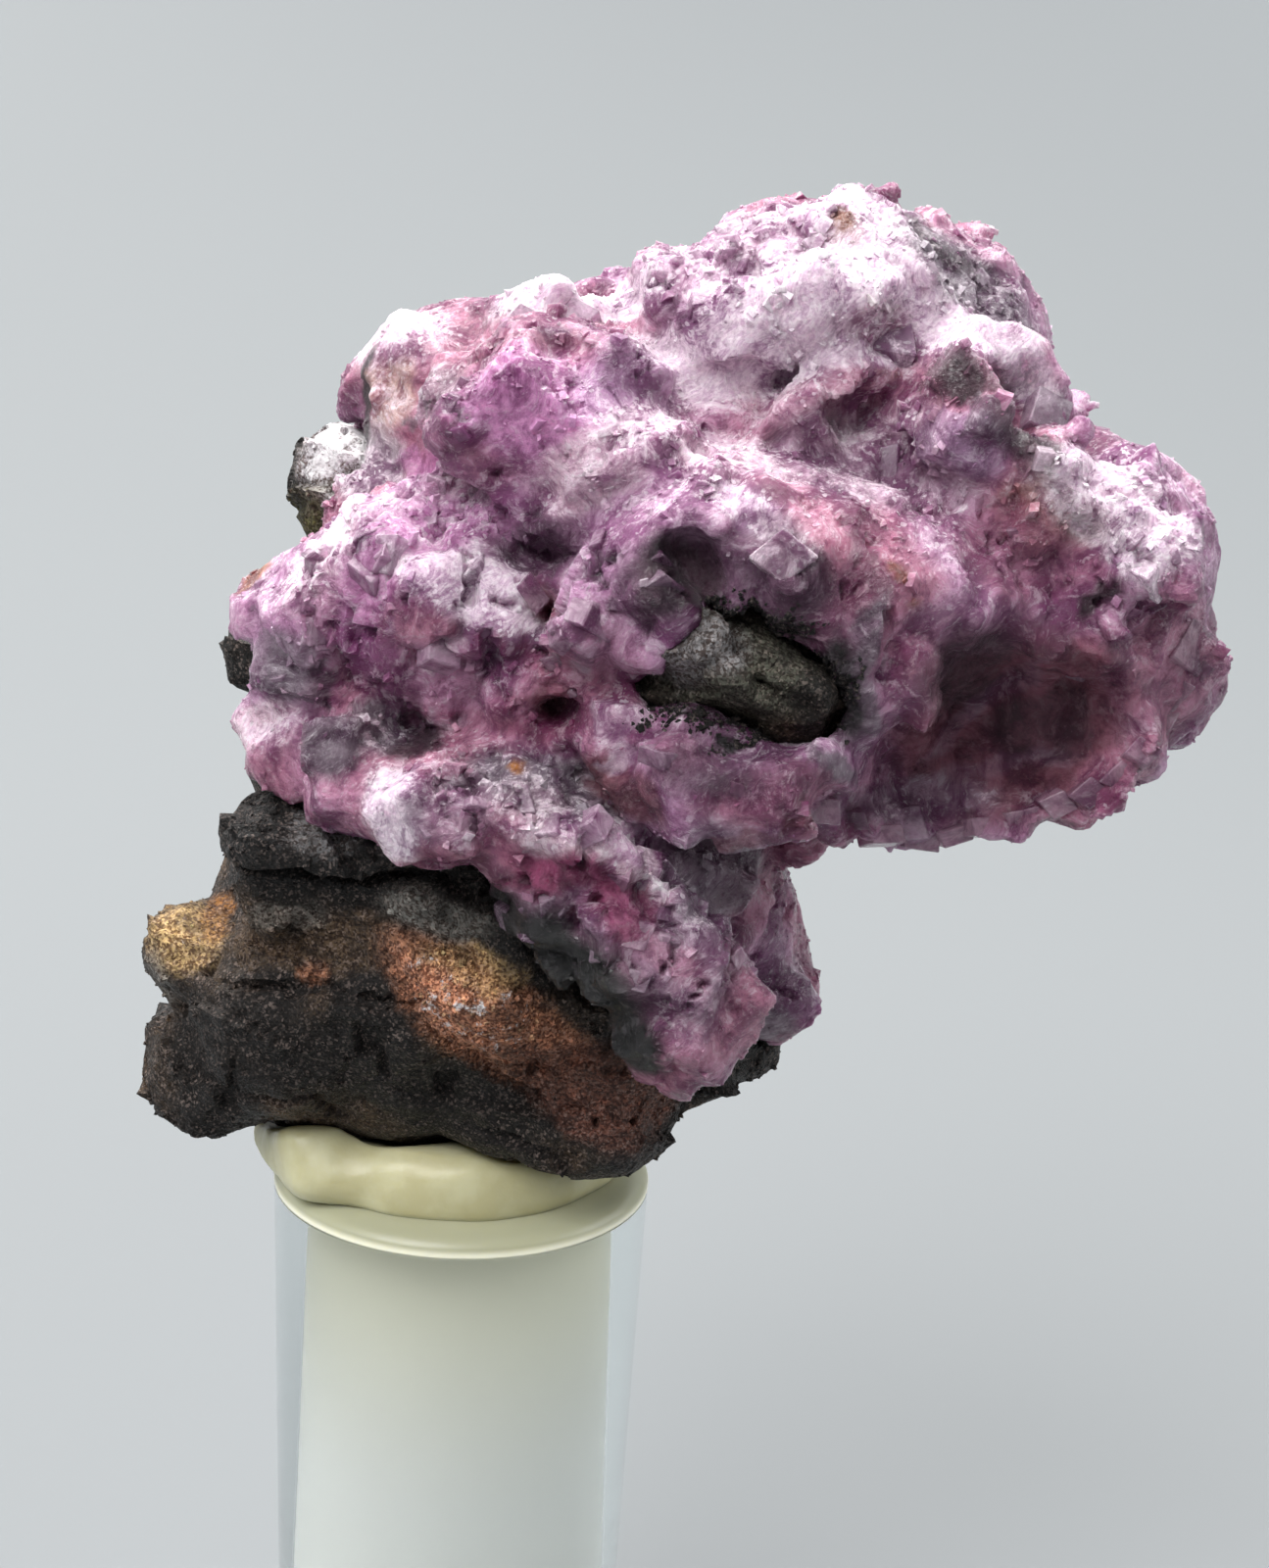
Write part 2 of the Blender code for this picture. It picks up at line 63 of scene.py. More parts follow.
LEVEL = np.array((1.0, 0.0, 0.0))
FORWARD = np.array((0.0, math.cos(PITCH), -math.sin(PITCH)))
STEEP = np.array((0.0, math.sin(PITCH), math.cos(PITCH)))
RIGHT = math.cos(ROLL) * LEVEL + math.sin(ROLL) * STEEP
UP = -math.sin(ROLL) * LEVEL + math.cos(ROLL) * STEEP

# The post, as built
POST_TOP = 31.6
POST_RADIUS_TOP = 7.8
POST_RADIUS_LOW = 7.2
BORE_RADIUS = 4.0
BORE_FLOOR = 6.0
FOOT_RADIUS = 13.0
FOOT_HEIGHT = 3.6

# The foot's underside stands this far off the table, so that light gets under it
FOOT_GAP = 0.04

# How much light the foot lets through; the tube above it lets all of it through
FOOT_CLEAR = 0.82

# The pat of putty is drawn in beyond this radius, so that it ends at the rim, but not on the left
PAT_INNER = 5.6
PAT_PULL = 0.66

# How much more it is drawn in at the front, and how much of that is given back at the left
PAT_FRONT = 0.34
PAT_FRONT_LEFT = 0.1

# The small cubes that each solid is made again from, before its surface is worked
CALCITE_GRAIN = 0.27
ROCK_GRAIN = 0.21
PUTTY_GRAIN = 0.3

# How thick the rock's layers are, and their normal: shares to the right, up and towards the viewer
LAYER = 2.3
LAYER_NORMAL = (0.28, 0.95, 0.0)

# How far apart the calcite's big and small cleavage steps are, and how wide a domain of parallel crystals is
BIG_STEPS = 3.0
SMALL_STEPS = 1.3
DOMAIN = 5.0

# The steps' half widths in those distances
STEP_BULK = (0.38, 0.62)

# The noise channels of the crystals' shared directions, and of the bare and the faceted zones' uneven edges
GROWTH = 60
BARE_EDGE = 420
FACET_EDGE = 430

# How much frost a surface that looks up gains, as painted light from above, and how much frost every surface
# loses
PAINTED_TOP_LIGHT_GAIN = 0.34
FROST_LOSS = 0.12

# How far a fused shape may stand from its solid, so that the pieces stay in the solids' box
BOX_INSET = 0.01

# Angle between the polar axis and the edges of a calcite cleavage rhombohedron, and its faces' blunt angle
EDGE_LEAN = math.radians(63.75)
BLUNT = math.radians(101.9)

# A spot's share falls from 1 to 0 between these parts of its reach
SPOT_EDGE = (1.25, 0.7)

# The studio's soft lights: place, what each is turned to, its width in millimetres, its watts and its colour
LIGHTS = [
    ("top_light", (-90, 170, 600), (2, 0, 50), 400, 8.6, (1.0, 0.99, 0.97)),
    ("front_key", (-220, -340, 520), (0, 0, 45), 420, 4.8, (1.0, 1.0, 1.0)),
    ("right_rim", (420, 60, 260), (10, 0, 50), 260, 0.7, (0.97, 0.99, 1.0)),
    ("left_wash", (-400, 500, 460), (-330, 660, 130), 260, 2.6, (1.0, 1.0, 0.98)),
    ("right_wash", (400, 500, 460), (330, 660, 130), 260, 2.2, (0.97, 0.99, 1.0)),
    ("left_panel", (-700, 120, 200), (0, 0, 30), 900, 2.2, (1.0, 1.0, 1.0)),
    ("right_panel", (700, 120, 200), (0, 0, 30), 900, 1.8, (0.97, 0.99, 1.0)),
]

# Colours as sRGB 0 to 255, then how frosted and how clear the mineral is
MINERALS = {
    "lilac": ((214, 164, 200), 0.34, 0.18),
    "pale lilac": ((236, 212, 230), 0.55, 0.10),
    "magenta": ((234, 160, 214), 0.26, 0.18),
    "purple": ((190, 146, 186), 0.30, 0.20),
    "rose": ((204, 134, 162), 0.20, 0.20),
    "salmon": ((184, 110, 140), 0.10, 0.18),
    "deep rose": ((170, 74, 118), 0.0, 0.20),
    "maroon": ((138, 76, 90), 0.0, 0.18),
    "dusk": ((72, 46, 58), 0.0, 0.20),
    "plum": ((112, 74, 102), 0.05, 0.20),
    "mauve": ((184, 152, 174), 0.30, 0.22),
    "grey mauve": ((138, 124, 136), 0.22, 0.22),
    "frosted": ((244, 234, 241), 1.0, 0.0),
    "blush": ((242, 212, 222), 0.75, 0.05),
    "smoky": ((150, 138, 148), 0.4, 0.3),
    "peach": ((226, 196, 176), 0.7, 0.0),
    "ash": ((178, 174, 178), 0.6, 0.0),
    "tan": ((158, 108, 78), 0.3, 0.0),
    "rust": ((118, 56, 26), 0.1, 0.0),
    "black mineral": ((18, 16, 17), 0.0, 0.0),
    "dark rock": ((22, 17, 14), 0.0, 0.0),
    "black crust": ((21, 20, 20), 0.0, 0.0),
    "umber": ((100, 80, 60), 0.0, 0.0),
    "orange stone": ((226, 156, 120), 0.60, 0.0),
    "red stone": ((124, 80, 66), 0.2, 0.0),
    "tan stone": ((222, 186, 128), 0.45, 0.0),
    "ochre": ((176, 116, 48), 0.1, 0.0),
    "olive": ((108, 104, 62), 0.1, 0.0),
    "grey stone": ((146, 144, 138), 0.25, 0.0),
    "green stone": ((92, 92, 80), 0.1, 0.0),
    "white dust": ((226, 224, 226), 0.9, 0.0),
    "chalk": ((232, 226, 232), 0.9, 0.0),
}

# Where each mineral shows on the calcite: the photograph's pixel it sits under, its reach across
# and up in pixels, how far it leans, its depth in millimetres, and how strongly it shows
CALCITE_SPOTS = [
    ("crown frost", "pale lilac", (880, 270), (190, 95), -18, 9.0, 0.60),
    ("crown top", "frosted", (890, 225), (90, 40), -12, 6.0, 0.6),
    # Painted light in the crown's shaded hollow: partly real pale frost, partly whitened to stand in for
    # light that comes through the crown from above
    ("crown lilac", "frosted", (795, 332), (150, 72), 18, 8.0, 1.0),
    ("blocky lilac", "lilac", (700, 292), (60, 50), 10, 6.0, 0.70),
    ("blocky white", "pale lilac", (690, 268), (50, 22), 5, 5.0, 0.6),
    ("upper lobe", "magenta", (545, 408), (88, 58), 8, 6.0, 0.95),
    ("upper lobe purple", "purple", (640, 395), (60, 50), 20, 5.0, 0.75),
    ("left lilac block", "magenta", (452, 480), (46, 44), 40, 5.0, 0.75),
    ("left clear crystals", "smoky", (445, 405), (36, 34), 0, 4.0, 0.6),
    ("behind white", "frosted", (590, 300), (90, 30), 4, 8.0, 1.0),
    ("back left white", "blush", (400, 345), (60, 40), 20, 9.0, 0.9),
    ("back left peach", "peach", (398, 405), (26, 36), 0, 6.0, 0.8),
    ("back left ash", "ash", (375, 475), (40, 44), 0, 6.0, 0.85),
    ("back left rim", "black crust", (338, 425), (10, 56), -6, 5.0, 0.9),
    ("pink vein", "frosted", (950, 325), (130, 32), -38, 6.0, 1.0),
    ("pink vein end", "frosted", (1045, 385), (44, 30), -50, 5.0, 0.9),
    ("white flake", "frosted", (898, 358), (30, 20), -10, 3.0, 0.9),
    ("flake edge", "ochre", (895, 380), (26, 5), -8, 2.0, 0.7),
    ("dark shoulder", "grey mauve", (985, 290), (104, 42), -38, 6.0, 0.95),
    ("dark shoulder edge", "dusk", (960, 255), (50, 16), -38, 5.0, 0.7),
    ("crown rust", "rust", (856, 228), (13, 16), 0, 3.0, 0.9),
    ("crown rust halo", "tan", (862, 240), (22, 22), 0, 3.0, 0.5),
    ("warm patch", "peach", (890, 330), (46, 26), 0, 4.0, 0.45),
    ("ridge frost left", "blush", (610, 478), (80, 38), 22, 5.0, 0.6),
    ("ridge frost middle", "blush", (710, 455), (100, 38), -12, 5.0, 0.6),
    ("ridge frost right", "frosted", (765, 525), (62, 22), -35, 4.0, 0.85),
    ("mottled slope", "mauve", (880, 480), (120, 66), -5, 6.0, 0.85),
    ("mottled slope pale", "blush", (850, 430), (110, 34), -8, 6.0, 0.35),
    ("big crystal side", "purple", (1000, 452), (38, 24), -10, 4.0, 0.8),
    ("dark face", "dusk", (986, 390), (24, 32), 38, 2.5, 0.85),
    ("dark ridge", "dusk", (1055, 462), (46, 20), -32, 5.0, 0.85),
    ("tan lobe", "tan", (1070, 520), (60, 44), -10, 6.0, 0.6),
    ("tan lobe rose", "salmon", (1050, 560), (80, 56), 0, 7.0, 0.6),
    ("right shoulder", "frosted", (1140, 515), (96, 48), -28, 8.0, 0.9),
    ("right shoulder tan", "tan", (1092, 524), (60, 26), -24, 6.0, 0.25),
    ("right patch", "frosted", (1160, 575), (34, 28), -30, 5.0, 0.8),
    ("right edge", "rose", (1190, 670), (64, 84), 10, 8.0, 0.8),
    ("right pit", "dusk", (1112, 610), (12, 24), -10, 4.0, 0.95),
    ("pit crescent", "deep rose", (1110, 670), (28, 18), -20, 4.0, 0.7),
    ("rose under slope", "salmon", (885, 585), (84, 52), -10, 7.0, 0.85),
    ("slope rust", "rust", (912, 580), (18, 12), -40, 2.0, 0.85),
    ("slope rust small", "rust", (932, 612), (10, 7), 0, 2.0, 0.7),
    ("white tip", "smoky", (802, 570), (26, 28), -10, 3.0, 0.75),
    # Painted shade on the downward-facing underside: partly the calcite's own dark maroon, partly darkened to
    # stand in for its shade
    ("underside", "maroon", (1020, 740), (135, 100), 20, 9.0, 0.92),
    ("underside dark", "dusk", (985, 690), (60, 44), 40, 6.0, 0.8),
    ("underside dark right", "dusk", (1060, 745), (50, 40), 30, 6.0, 0.7),
    ("underside streak", "mauve", (985, 735), (74, 9), 50, 6.0, 0.35),
    ("underside streak low", "mauve", (1000, 790), (90, 8), 12, 6.0, 0.35),
    ("underside streak high", "mauve", (1030, 700), (50, 8), 44, 6.0, 0.3),
    ("underside rim", "rose", (1145, 785), (90, 30), 38, 6.0, 0.85),
    ("underside rim left", "mauve", (900, 822), (120, 20), 4, 6.0, 0.8),
    ("lower lip", "salmon", (790, 815), (80, 32), 6, 6.0, 0.8),
    ("pale band top", "smoky", (882, 655), (14, 46), -15, 4.0, 0.9),
    ("pale band bend", "smoky", (885, 720), (14, 34), 14, 4.0, 0.9),
    ("pale band low", "smoky", (845, 780), (14, 46), 52, 4.0, 0.85),
    # Painted shade in the cavity under the central ridge: partly the calcite's own dark purple, partly
    # darkened for the shade under the overhang
    ("above window", "plum", (752, 592), (104, 44), -14, 6.0, 0.9),
    ("right of window", "plum", (872, 700), (26, 70), 6, 5.0, 0.6),
    ("below window", "plum", (735, 775), (84, 40), -4, 5.0, 0.7),
    ("window rim right", "black mineral", (856, 706), (24, 56), 12, 4.0, 0.95),
    ("window rim top", "black mineral", (780, 640), (64, 16), -14, 4.0, 0.85),
    ("window rim low", "black mineral", (745, 728), (90, 18), -8, 4.0, 0.8),
    ("black spot", "black mineral", (694, 728), (18, 8), 0, 3.0, 1.0),
    ("black spot low", "black mineral", (738, 764), (14, 14), 0, 3.0, 1.0),
    ("fibrous crystal", "smoky", (790, 755), (34, 34), 0, 3.0, 0.7),
    # Painted shade in the recesses under the ridge: partly their own dark colour, partly darkened for the
    # shade there
    ("dark recess", "plum", (552, 558), (54, 40), 20, 5.0, 0.9),
    ("black recess", "dusk", (688, 596), (56, 50), -30, 5.0, 0.9),
    ("lens hole", "maroon", (556, 625), (22, 32), -30, 4.0, 0.95),
    ("round hole", "maroon", (564, 712), (26, 24), 0, 4.0, 0.95),
    ("hole lip", "deep rose", (560, 742), (40, 14), 0, 4.0, 0.6),
    ("side cavity", "dusk", (424, 758), (34, 20), 0, 4.0, 0.95),
    ("left edge knobs", "blush", (325, 560), (36, 62), -28, 6.0, 0.85),
    ("left edge pink", "magenta", (285, 645), (26, 22), 0, 5.0, 0.5),
    ("left strip olive", "olive", (312, 535), (18, 34), -32, 4.0, 0.85),
    ("left strip ochre", "ochre", (258, 590), (13, 26), -28, 4.0, 0.85),
    ("left strip black", "black crust", (234, 628), (10, 26), -24, 4.0, 0.8),
    ("left magenta", "magenta", (375, 620), (30, 60), -14, 5.0, 0.7),
    ("above big crystal", "magenta", (460, 535), (90, 26), 8, 5.0, 0.7),
    ("big glassy frost", "frosted", (475, 600), (72, 32), -10, 4.0, 0.9),
    ("big glassy frost low", "frosted", (510, 632), (56, 20), -18, 4.0, 0.8),
    ("big glassy lower", "lilac", (450, 690), (90, 40), 0, 5.0, 0.6),
    ("grey facet", "grey mauve", (292, 680), (30, 44), -12, 4.0, 0.75),
    ("left low blush", "blush", (275, 740), (40, 30), 10, 5.0, 0.85),
    ("rounded mauve", "grey mauve", (340, 760), (34, 38), 0, 4.0, 0.85),
    ("rounded ash", "smoky", (388, 745), (28, 34), 0, 4.0, 0.7),
    ("chalk patch", "chalk", (400, 828), (40, 50), 20, 5.0, 1.0),
    ("ledge mauve", "mauve", (460, 830), (46, 40), 0, 5.0, 0.8),
    ("ledge top", "grey mauve", (560, 805), (90, 38), -12, 5.0, 1.0),
    ("ledge frost", "blush", (545, 815), (40, 18), -14, 4.0, 0.25),
    ("gold fleck", "ochre", (531, 785), (7, 7), 0, 1.5, 0.95),
    ("ledge ridge", "blush", (575, 858), (66, 15), -18, 4.0, 0.95),
    ("ledge ridge right", "blush", (655, 905), (52, 13), -42, 4.0, 0.95),
    ("ledge rose", "deep rose", (575, 890), (64, 22), -14, 4.0, 0.95),
    ("ledge rose right", "deep rose", (640, 935), (46, 28), -40, 4.0, 0.85),
    ("ledge white", "frosted", (700, 932), (24, 14), -20, 3.0, 0.85),
    ("ledge end", "mauve", (700, 1000), (56, 66), 0, 6.0, 0.75),
    ("ledge end magenta", "rose", (690, 985), (40, 24), -30, 5.0, 0.5),
    ("behind ledge", "grey mauve", (730, 890), (60, 60), -30, 9.0, 0.85),
    ("behind ledge rose", "maroon", (640, 810), (50, 26), -40, 7.0, 0.85),
    ("low right crystals", "mauve", (790, 1000), (44, 30), -20, 8.0, 0.8),
    ("low right dark", "grey mauve", (775, 1045), (34, 24), 0, 8.0, 0.85),
    ("black patch edge", "black crust", (574, 982), (130, 70), -48, 9.0, 1.0),
    ("black patch low", "black crust", (636, 1062), (60, 30), -42, 9.0, 1.0),
]

# Zones, in the same terms but without a mineral: where small crystals crowd on the calcite
DRUSE_ZONES = [
    ("crown", (850, 275), (180, 100), -15, 12.0, 0.7),
    ("crown shoulder", (990, 290), (90, 50), -38, 8.0, 1.0),
    ("upper lobe top", (580, 345), (110, 36), 6, 6.0, 0.5),
    ("left knobs", (315, 610), (60, 120), -24, 6.0, 0.7),
    ("left middle", (450, 600), (130, 110), 0, 6.0, 0.25),
    ("central ridge", (690, 465), (160, 60), -8, 5.0, 0.5),
    ("mottled slope", (890, 480), (120, 70), -5, 6.0, 0.5),
    ("right shoulder", (1130, 540), (110, 70), -24, 8.0, 0.8),
    ("dark ridge", (1055, 462), (50, 26), -32, 5.0, 0.8),
    ("ledge top", (520, 820), (110, 50), -14, 5.0, 0.6),
    ("ledge end", (710, 990), (60, 80), 0, 6.0, 0.4),
]

# Where single crystal faces show
FACET_ZONES = [
    ("left middle", (440, 610), (150, 130), -20, 6.0, 1.0),
    ("upper left", (450, 450), (70, 70), 0, 6.0, 1.0),
    ("blocky lilac", (710, 290), (60, 50), 10, 6.0, 0.8),
    ("recess", (620, 600), (90, 60), -10, 6.0, 1.0),
    ("right lobe", (1100, 560), (100, 90), -20, 8.0, 0.5),
    ("ledge", (600, 900), (190, 90), -35, 8.0, 0.9),
]

# Where the calcite is bare and broken smooth
BARE_ZONES = [
    ("underside", (1000, 740), (190, 140), 20, 12.0, 1.0),
    ("window surround", (760, 700), (150, 120), 0, 7.0, 1.0),
    ("big glassy crystal", (475, 620), (95, 48), -10, 4.0, 0.8),
    ("recess", (620, 580), (110, 60), -10, 6.0, 0.7),
    ("ledge rose", (590, 895), (80, 34), -22, 4.0, 0.9),
    ("ledge lower", (650, 940), (60, 40), -40, 4.0, 0.6),
    ("pink vein", (965, 340), (130, 26), -38, 5.0, 0.8),
    ("back left mass", (430, 400), (100, 110), 0, 8.0, 0.8),
]

# Swells and hollows of the calcite: the last number is millimetres outward
CALCITE_PUSHES = [
    ("ledge arch", (575, 856), (70, 14), -18, 3.0, 0.80),
    ("ledge arch end", (655, 905), (52, 14), -42, 3.0, 0.75),
    ("pale band top", (880, 655), (12, 44), -15, 3.0, 0.40),
    ("pale band bend", (885, 720), (12, 34), 14, 3.0, 0.40),
    ("pale band low", (845, 780), (12, 46), 52, 3.0, 0.35),
    ("big glassy crystal", (470, 620), (88, 42), -10, 4.0, 0.45),
    ("under glassy crystal", (450, 668), (90, 12), -10, 4.0, -0.45),
    ("recess", (552, 560), (42, 26), 20, 4.0, -0.70),
    ("black recess", (690, 600), (40, 40), -30, 5.0, 0.60),
    ("crown fill", (800, 338), (110, 50), 18, 6.0, 1.7),
    ("round hole", (564, 712), (30, 30), 0, 5.0, 0.25),
    ("lens hole", (556, 625), (26, 34), -30, 5.0, 0.25),
    ("pink hollow", (1025, 392), (30, 44), 30, 4.0, -0.50),
    ("pit crescent", (1110, 672), (26, 12), -20, 3.0, 0.35),
    ("underside hollow", (990, 700), (60, 60), 30, 6.0, -0.60),
    ("underside step", (940, 740), (10, 90), -16, 4.0, 0.30),
    ("pit fill", (862, 388), (54, 40), 0, 6.0, 1.5),
    ("notch above lobe", (1132, 425), (46, 46), 0, 9.0, -1.3),
    ("crown corner", (940, 184), (78, 40), -16, 9.0, -0.9),
    ("central ridge", (640, 465), (86, 12), 26, 4.0, 0.40),
    ("ridge right", (730, 480), (90, 12), -28, 4.0, 0.40),
]

# Single crystals: mineral, pixel, width, height and depth in millimetres, which way the face
# looks (right, up, towards the viewer), its lean in degrees, and how far it stands off
SINGLES = [
    ("twin tip left", "mauve", (535, 330), (1.1, 1.1, 1.4), (-0.1, 0.1, 1.0), 48, 0.3),
    ("twin tip right", "mauve", (588, 324), (1.2, 1.2, 1.4), (-0.1, 0.1, 1.0), 48, 0.3),
    ("magenta block top", "lilac", (560, 335), (3.0, 1.4, 2.0), (0.0, 0.85, 0.5), -4, 0.19),
    ("clear crystal left", "smoky", (426, 420), (1.2, 1.4, 1.4), (-0.7, 0.4, 0.6), 70, 0.19),
    ("clear crystal", "smoky", (452, 392), (1.3, 1.0, 1.2), (-0.3, 0.7, 0.6), 30, 0.19),
    ("clear crystal right", "ash", (470, 420), (1.2, 1.0, 1.2), (0.1, 0.5, 0.8), -20, 0.15),
    ("lilac block", "magenta", (450, 478), (2.4, 2.3, 2.6), (-0.4, 0.1, 0.9), 18, 0.25),
    ("lilac block side", "pale lilac", (428, 510), (1.3, 1.9, 1.6), (-0.8, 0.0, 0.6), 80, 0.19),
    ("pink block", "pale lilac", (690, 292), (2.2, 1.9, 2.4), (-0.3, 0.3, 0.9), -10, 0.28),
    ("pink block top", "blush", (700, 262), (2.4, 1.4, 1.8), (-0.1, 0.85, 0.5), -6, 0.22),
    ("small block", "frosted", (748, 238), (1.1, 1.1, 1.3), (-0.4, 0.4, 0.8), 8, 0.25),
    ("crown plate", "frosted", (905, 228), (1.8, 1.3, 1.0), (0.2, 0.7, 0.7), -34, 0.19),
    ("crown plate low", "blush", (940, 268), (1.6, 1.2, 1.0), (0.3, 0.6, 0.7), -40, 0.17),
    ("crown block", "blush", (820, 232), (1.5, 1.3, 1.4), (-0.3, 0.5, 0.8), 14, 0.19),
    ("shell flake", "frosted", (898, 356), (2.2, 1.5, 0.9), (0.1, 0.45, 0.9), -8, 0.9),
    ("dark face", "dusk", (990, 392), (2.2, 1.7, 2.2), (-0.2, 0.0, 1.0), -48, 0.34),
    ("dark face side", "smoky", (1012, 424), (1.4, 1.5, 1.8), (0.5, -0.2, 0.85), 62, 0.28),
    ("purple foot", "purple", (985, 452), (1.8, 1.6, 2.0), (0.1, -0.2, 1.0), -28, 0.22),
    ("clear tip", "smoky", (1068, 422), (1.6, 1.8, 2.0), (0.6, 0.1, 0.8), 58, 0.28),
    ("white tip", "blush", (800, 566), (1.5, 1.5, 2.0), (-0.1, -0.25, 0.95), 40, 0.34),
    ("left facet", "pale lilac", (385, 566), (1.4, 1.7, 1.6), (-0.5, 0.1, 0.85), 74, 0.22),
    ("long crystal", "lilac", (402, 532), (2.4, 1.1, 1.6), (-0.2, 0.4, 0.9), 24, 0.25),
    ("bright facet", "frosted", (478, 574), (1.1, 1.1, 1.3), (-0.1, 0.35, 0.9), -20, 0.31),
    ("glassy face", "pale lilac", (462, 616), (4.2, 2.4, 3.0), (-0.1, 0.1, 1.0), -8, 0.28),
    ("glassy end", "pale lilac", (535, 632), (2.2, 1.8, 2.2), (0.35, 0.05, 0.95), -22, 0.25),
    ("grey facet", "grey mauve", (292, 676), (2.0, 3.0, 2.2), (-0.55, 0.0, 0.85), 66, 0.28),
    ("left low facet", "blush", (276, 742), (2.2, 1.8, 1.8), (-0.4, 0.3, 0.85), 18, 0.22),
    ("rounded mauve", "grey mauve", (334, 758), (1.9, 2.0, 1.8), (-0.2, 0.0, 1.0), 84, 0.25),
    ("rounded ash", "smoky", (380, 742), (1.6, 1.7, 1.6), (0.2, 0.1, 1.0), 70, 0.25),
    ("edged crystal", "mauve", (466, 720), (1.8, 1.5, 1.8), (0.0, -0.1, 1.0), -12, 0.28),
    ("clear rhomb", "mauve", (604, 616), (1.7, 2.9, 2.2), (-0.2, 0.1, 0.95), -34, 0.34),
    ("down prism", "pale lilac", (638, 752), (1.8, 2.4, 2.2), (-0.1, -0.15, 1.0), -10, 0.34),
    ("pale fibres", "smoky", (790, 757), (1.8, 2.2, 1.6), (0.0, -0.3, 0.95), 30, 0.22),
    ("sharp corner", "maroon", (776, 838), (3.4, 1.6, 3.0), (-0.15, -0.35, 0.9), 14, 0.28),
    ("right point", "rose", (1216, 660), (1.8, 1.8, 2.2), (0.6, -0.1, 0.75), 46, 0.22),
    ("right brow", "blush", (1150, 500), (2.4, 1.8, 2.0), (0.2, 0.6, 0.75), -30, 0.19),
    ("shelf left", "pale lilac", (445, 806), (2.0, 1.6, 1.6), (-0.1, 0.4, 0.9), -12, 0.22),
    ("shelf middle", "smoky", (540, 800), (2.2, 1.6, 1.8), (0.1, 0.5, 0.85), -18, 0.25),
    ("rose facet", "deep rose", (545, 888), (2.6, 1.4, 2.0), (-0.1, -0.3, 0.95), -8, 0.19),
    ("rose facet right", "deep rose", (612, 915), (2.6, 1.8, 2.0), (-0.15, -0.2, 0.95), -34, 0.19),
    ("white patch", "frosted", (700, 930), (1.5, 1.2, 1.4), (0.2, 0.3, 0.9), -22, 0.25),
    ("lower block", "mauve", (700, 985), (2.6, 2.4, 2.6), (0.0, 0.0, 1.0), -36, 0.22),
    ("lower block foot", "pale lilac", (690, 1035), (1.8, 1.8, 2.0), (-0.1, -0.2, 1.0), -12, 0.19),
    ("rounded end", "mauve", (796, 1002), (2.6, 1.3, 1.8), (0.2, 0.1, 0.95), -28, 0.25),
]

# The single crystals that stay crisp and glassy; the others are fused with the mass and softened
CRISP = (
    "twin tip left",
    "twin tip right",
    "small block",
    "shell flake",
    "clear tip",
    "white tip",
    "left facet",
    "bright facet",
    "right point",
    "white patch",
    "rim block",
)

# The right lobe's scalloped lower edge: pixels where its small blocks' faces stand, and their leans
RIM_PIXELS = [
    (838, 826, 4), (870, 836, -6), (905, 850, -10), (940, 856, 2), (975, 852, 8), (1010, 842, 14),
    (1045, 832, 20), (1080, 820, 24), (1112, 808, 38), (1142, 790, 42), (1166, 766, 50), (1184, 738, 60),
    (1198, 708, 62), (1216, 686, 50),
]

# The dark spiky ridge between the crown and the right lobe
SPIKE_PIXELS = [(1036, 452, 50), (1048, 458, 44), (1060, 464, 52), (1070, 470, 46), (1082, 476, 50)]

# Swells and hollows of the rock
ROCK_PUSHES = [
    ("crust overhang", (330, 872), (110, 16), -3, 5.0, 0.45),
    ("crack under crust", (345, 893), (115, 7), -3, 4.0, -0.80),
    ("second crack", (330, 1012), (110, 5), -4, 4.0, -0.40),
    ("grey lens", (450, 930), (56, 20), -8, 3.0, 0.35),
    ("black hollow", (585, 975), (60, 36), -48, 4.0, -0.60),
    ("orange shelf", (505, 1040), (100, 30), -34, 4.0, 0.30),
    ("orange shelf foot", (500, 1092), (90, 7), -40, 4.0, -0.45),
    ("pebble", (590, 976), (15, 9), 0, 2.0, 0.50),
    ("window step", (700, 655), (46, 26), 14, 4.0, 0.60),
    ("window groove", (765, 672), (8, 60), 28, 4.0, -0.45),
    ("window foot", (800, 712), (40, 14), -30, 4.0, -0.50),
    ("tan flake", (628, 1082), (18, 8), 4, 2.0, 0.35),
]

# Where the rock is granular
GRAIN_ZONES = [
    ("orange patch", (500, 1050), (120, 60), -36, 6.0, 1.0),
    ("red sparkle", (640, 1105), (80, 50), -30, 6.0, 1.0),
    ("crust dust", (310, 840), (80, 50), 0, 6.0, 0.7),
    ("knob", (190, 962), (44, 36), 0, 5.0, 0.1),
    ("brown layer", (340, 950), (130, 40), 0, 5.0, 0.4),
]

# Where black mineral grains crowd round the window
WINDOW_ZONES = [
    ("top rim", (785, 628), (60, 12), -14, 4.0, 1.0),
    ("right rim", (856, 708), (20, 48), 10, 4.0, 1.0),
    ("low rim", (745, 738), (90, 12), -6, 4.0, 1.0),
    ("left spot", (694, 730), (20, 9), 0, 3.0, 1.0),
    ("low spot", (738, 764), (14, 14), 0, 3.0, 1.0),
]

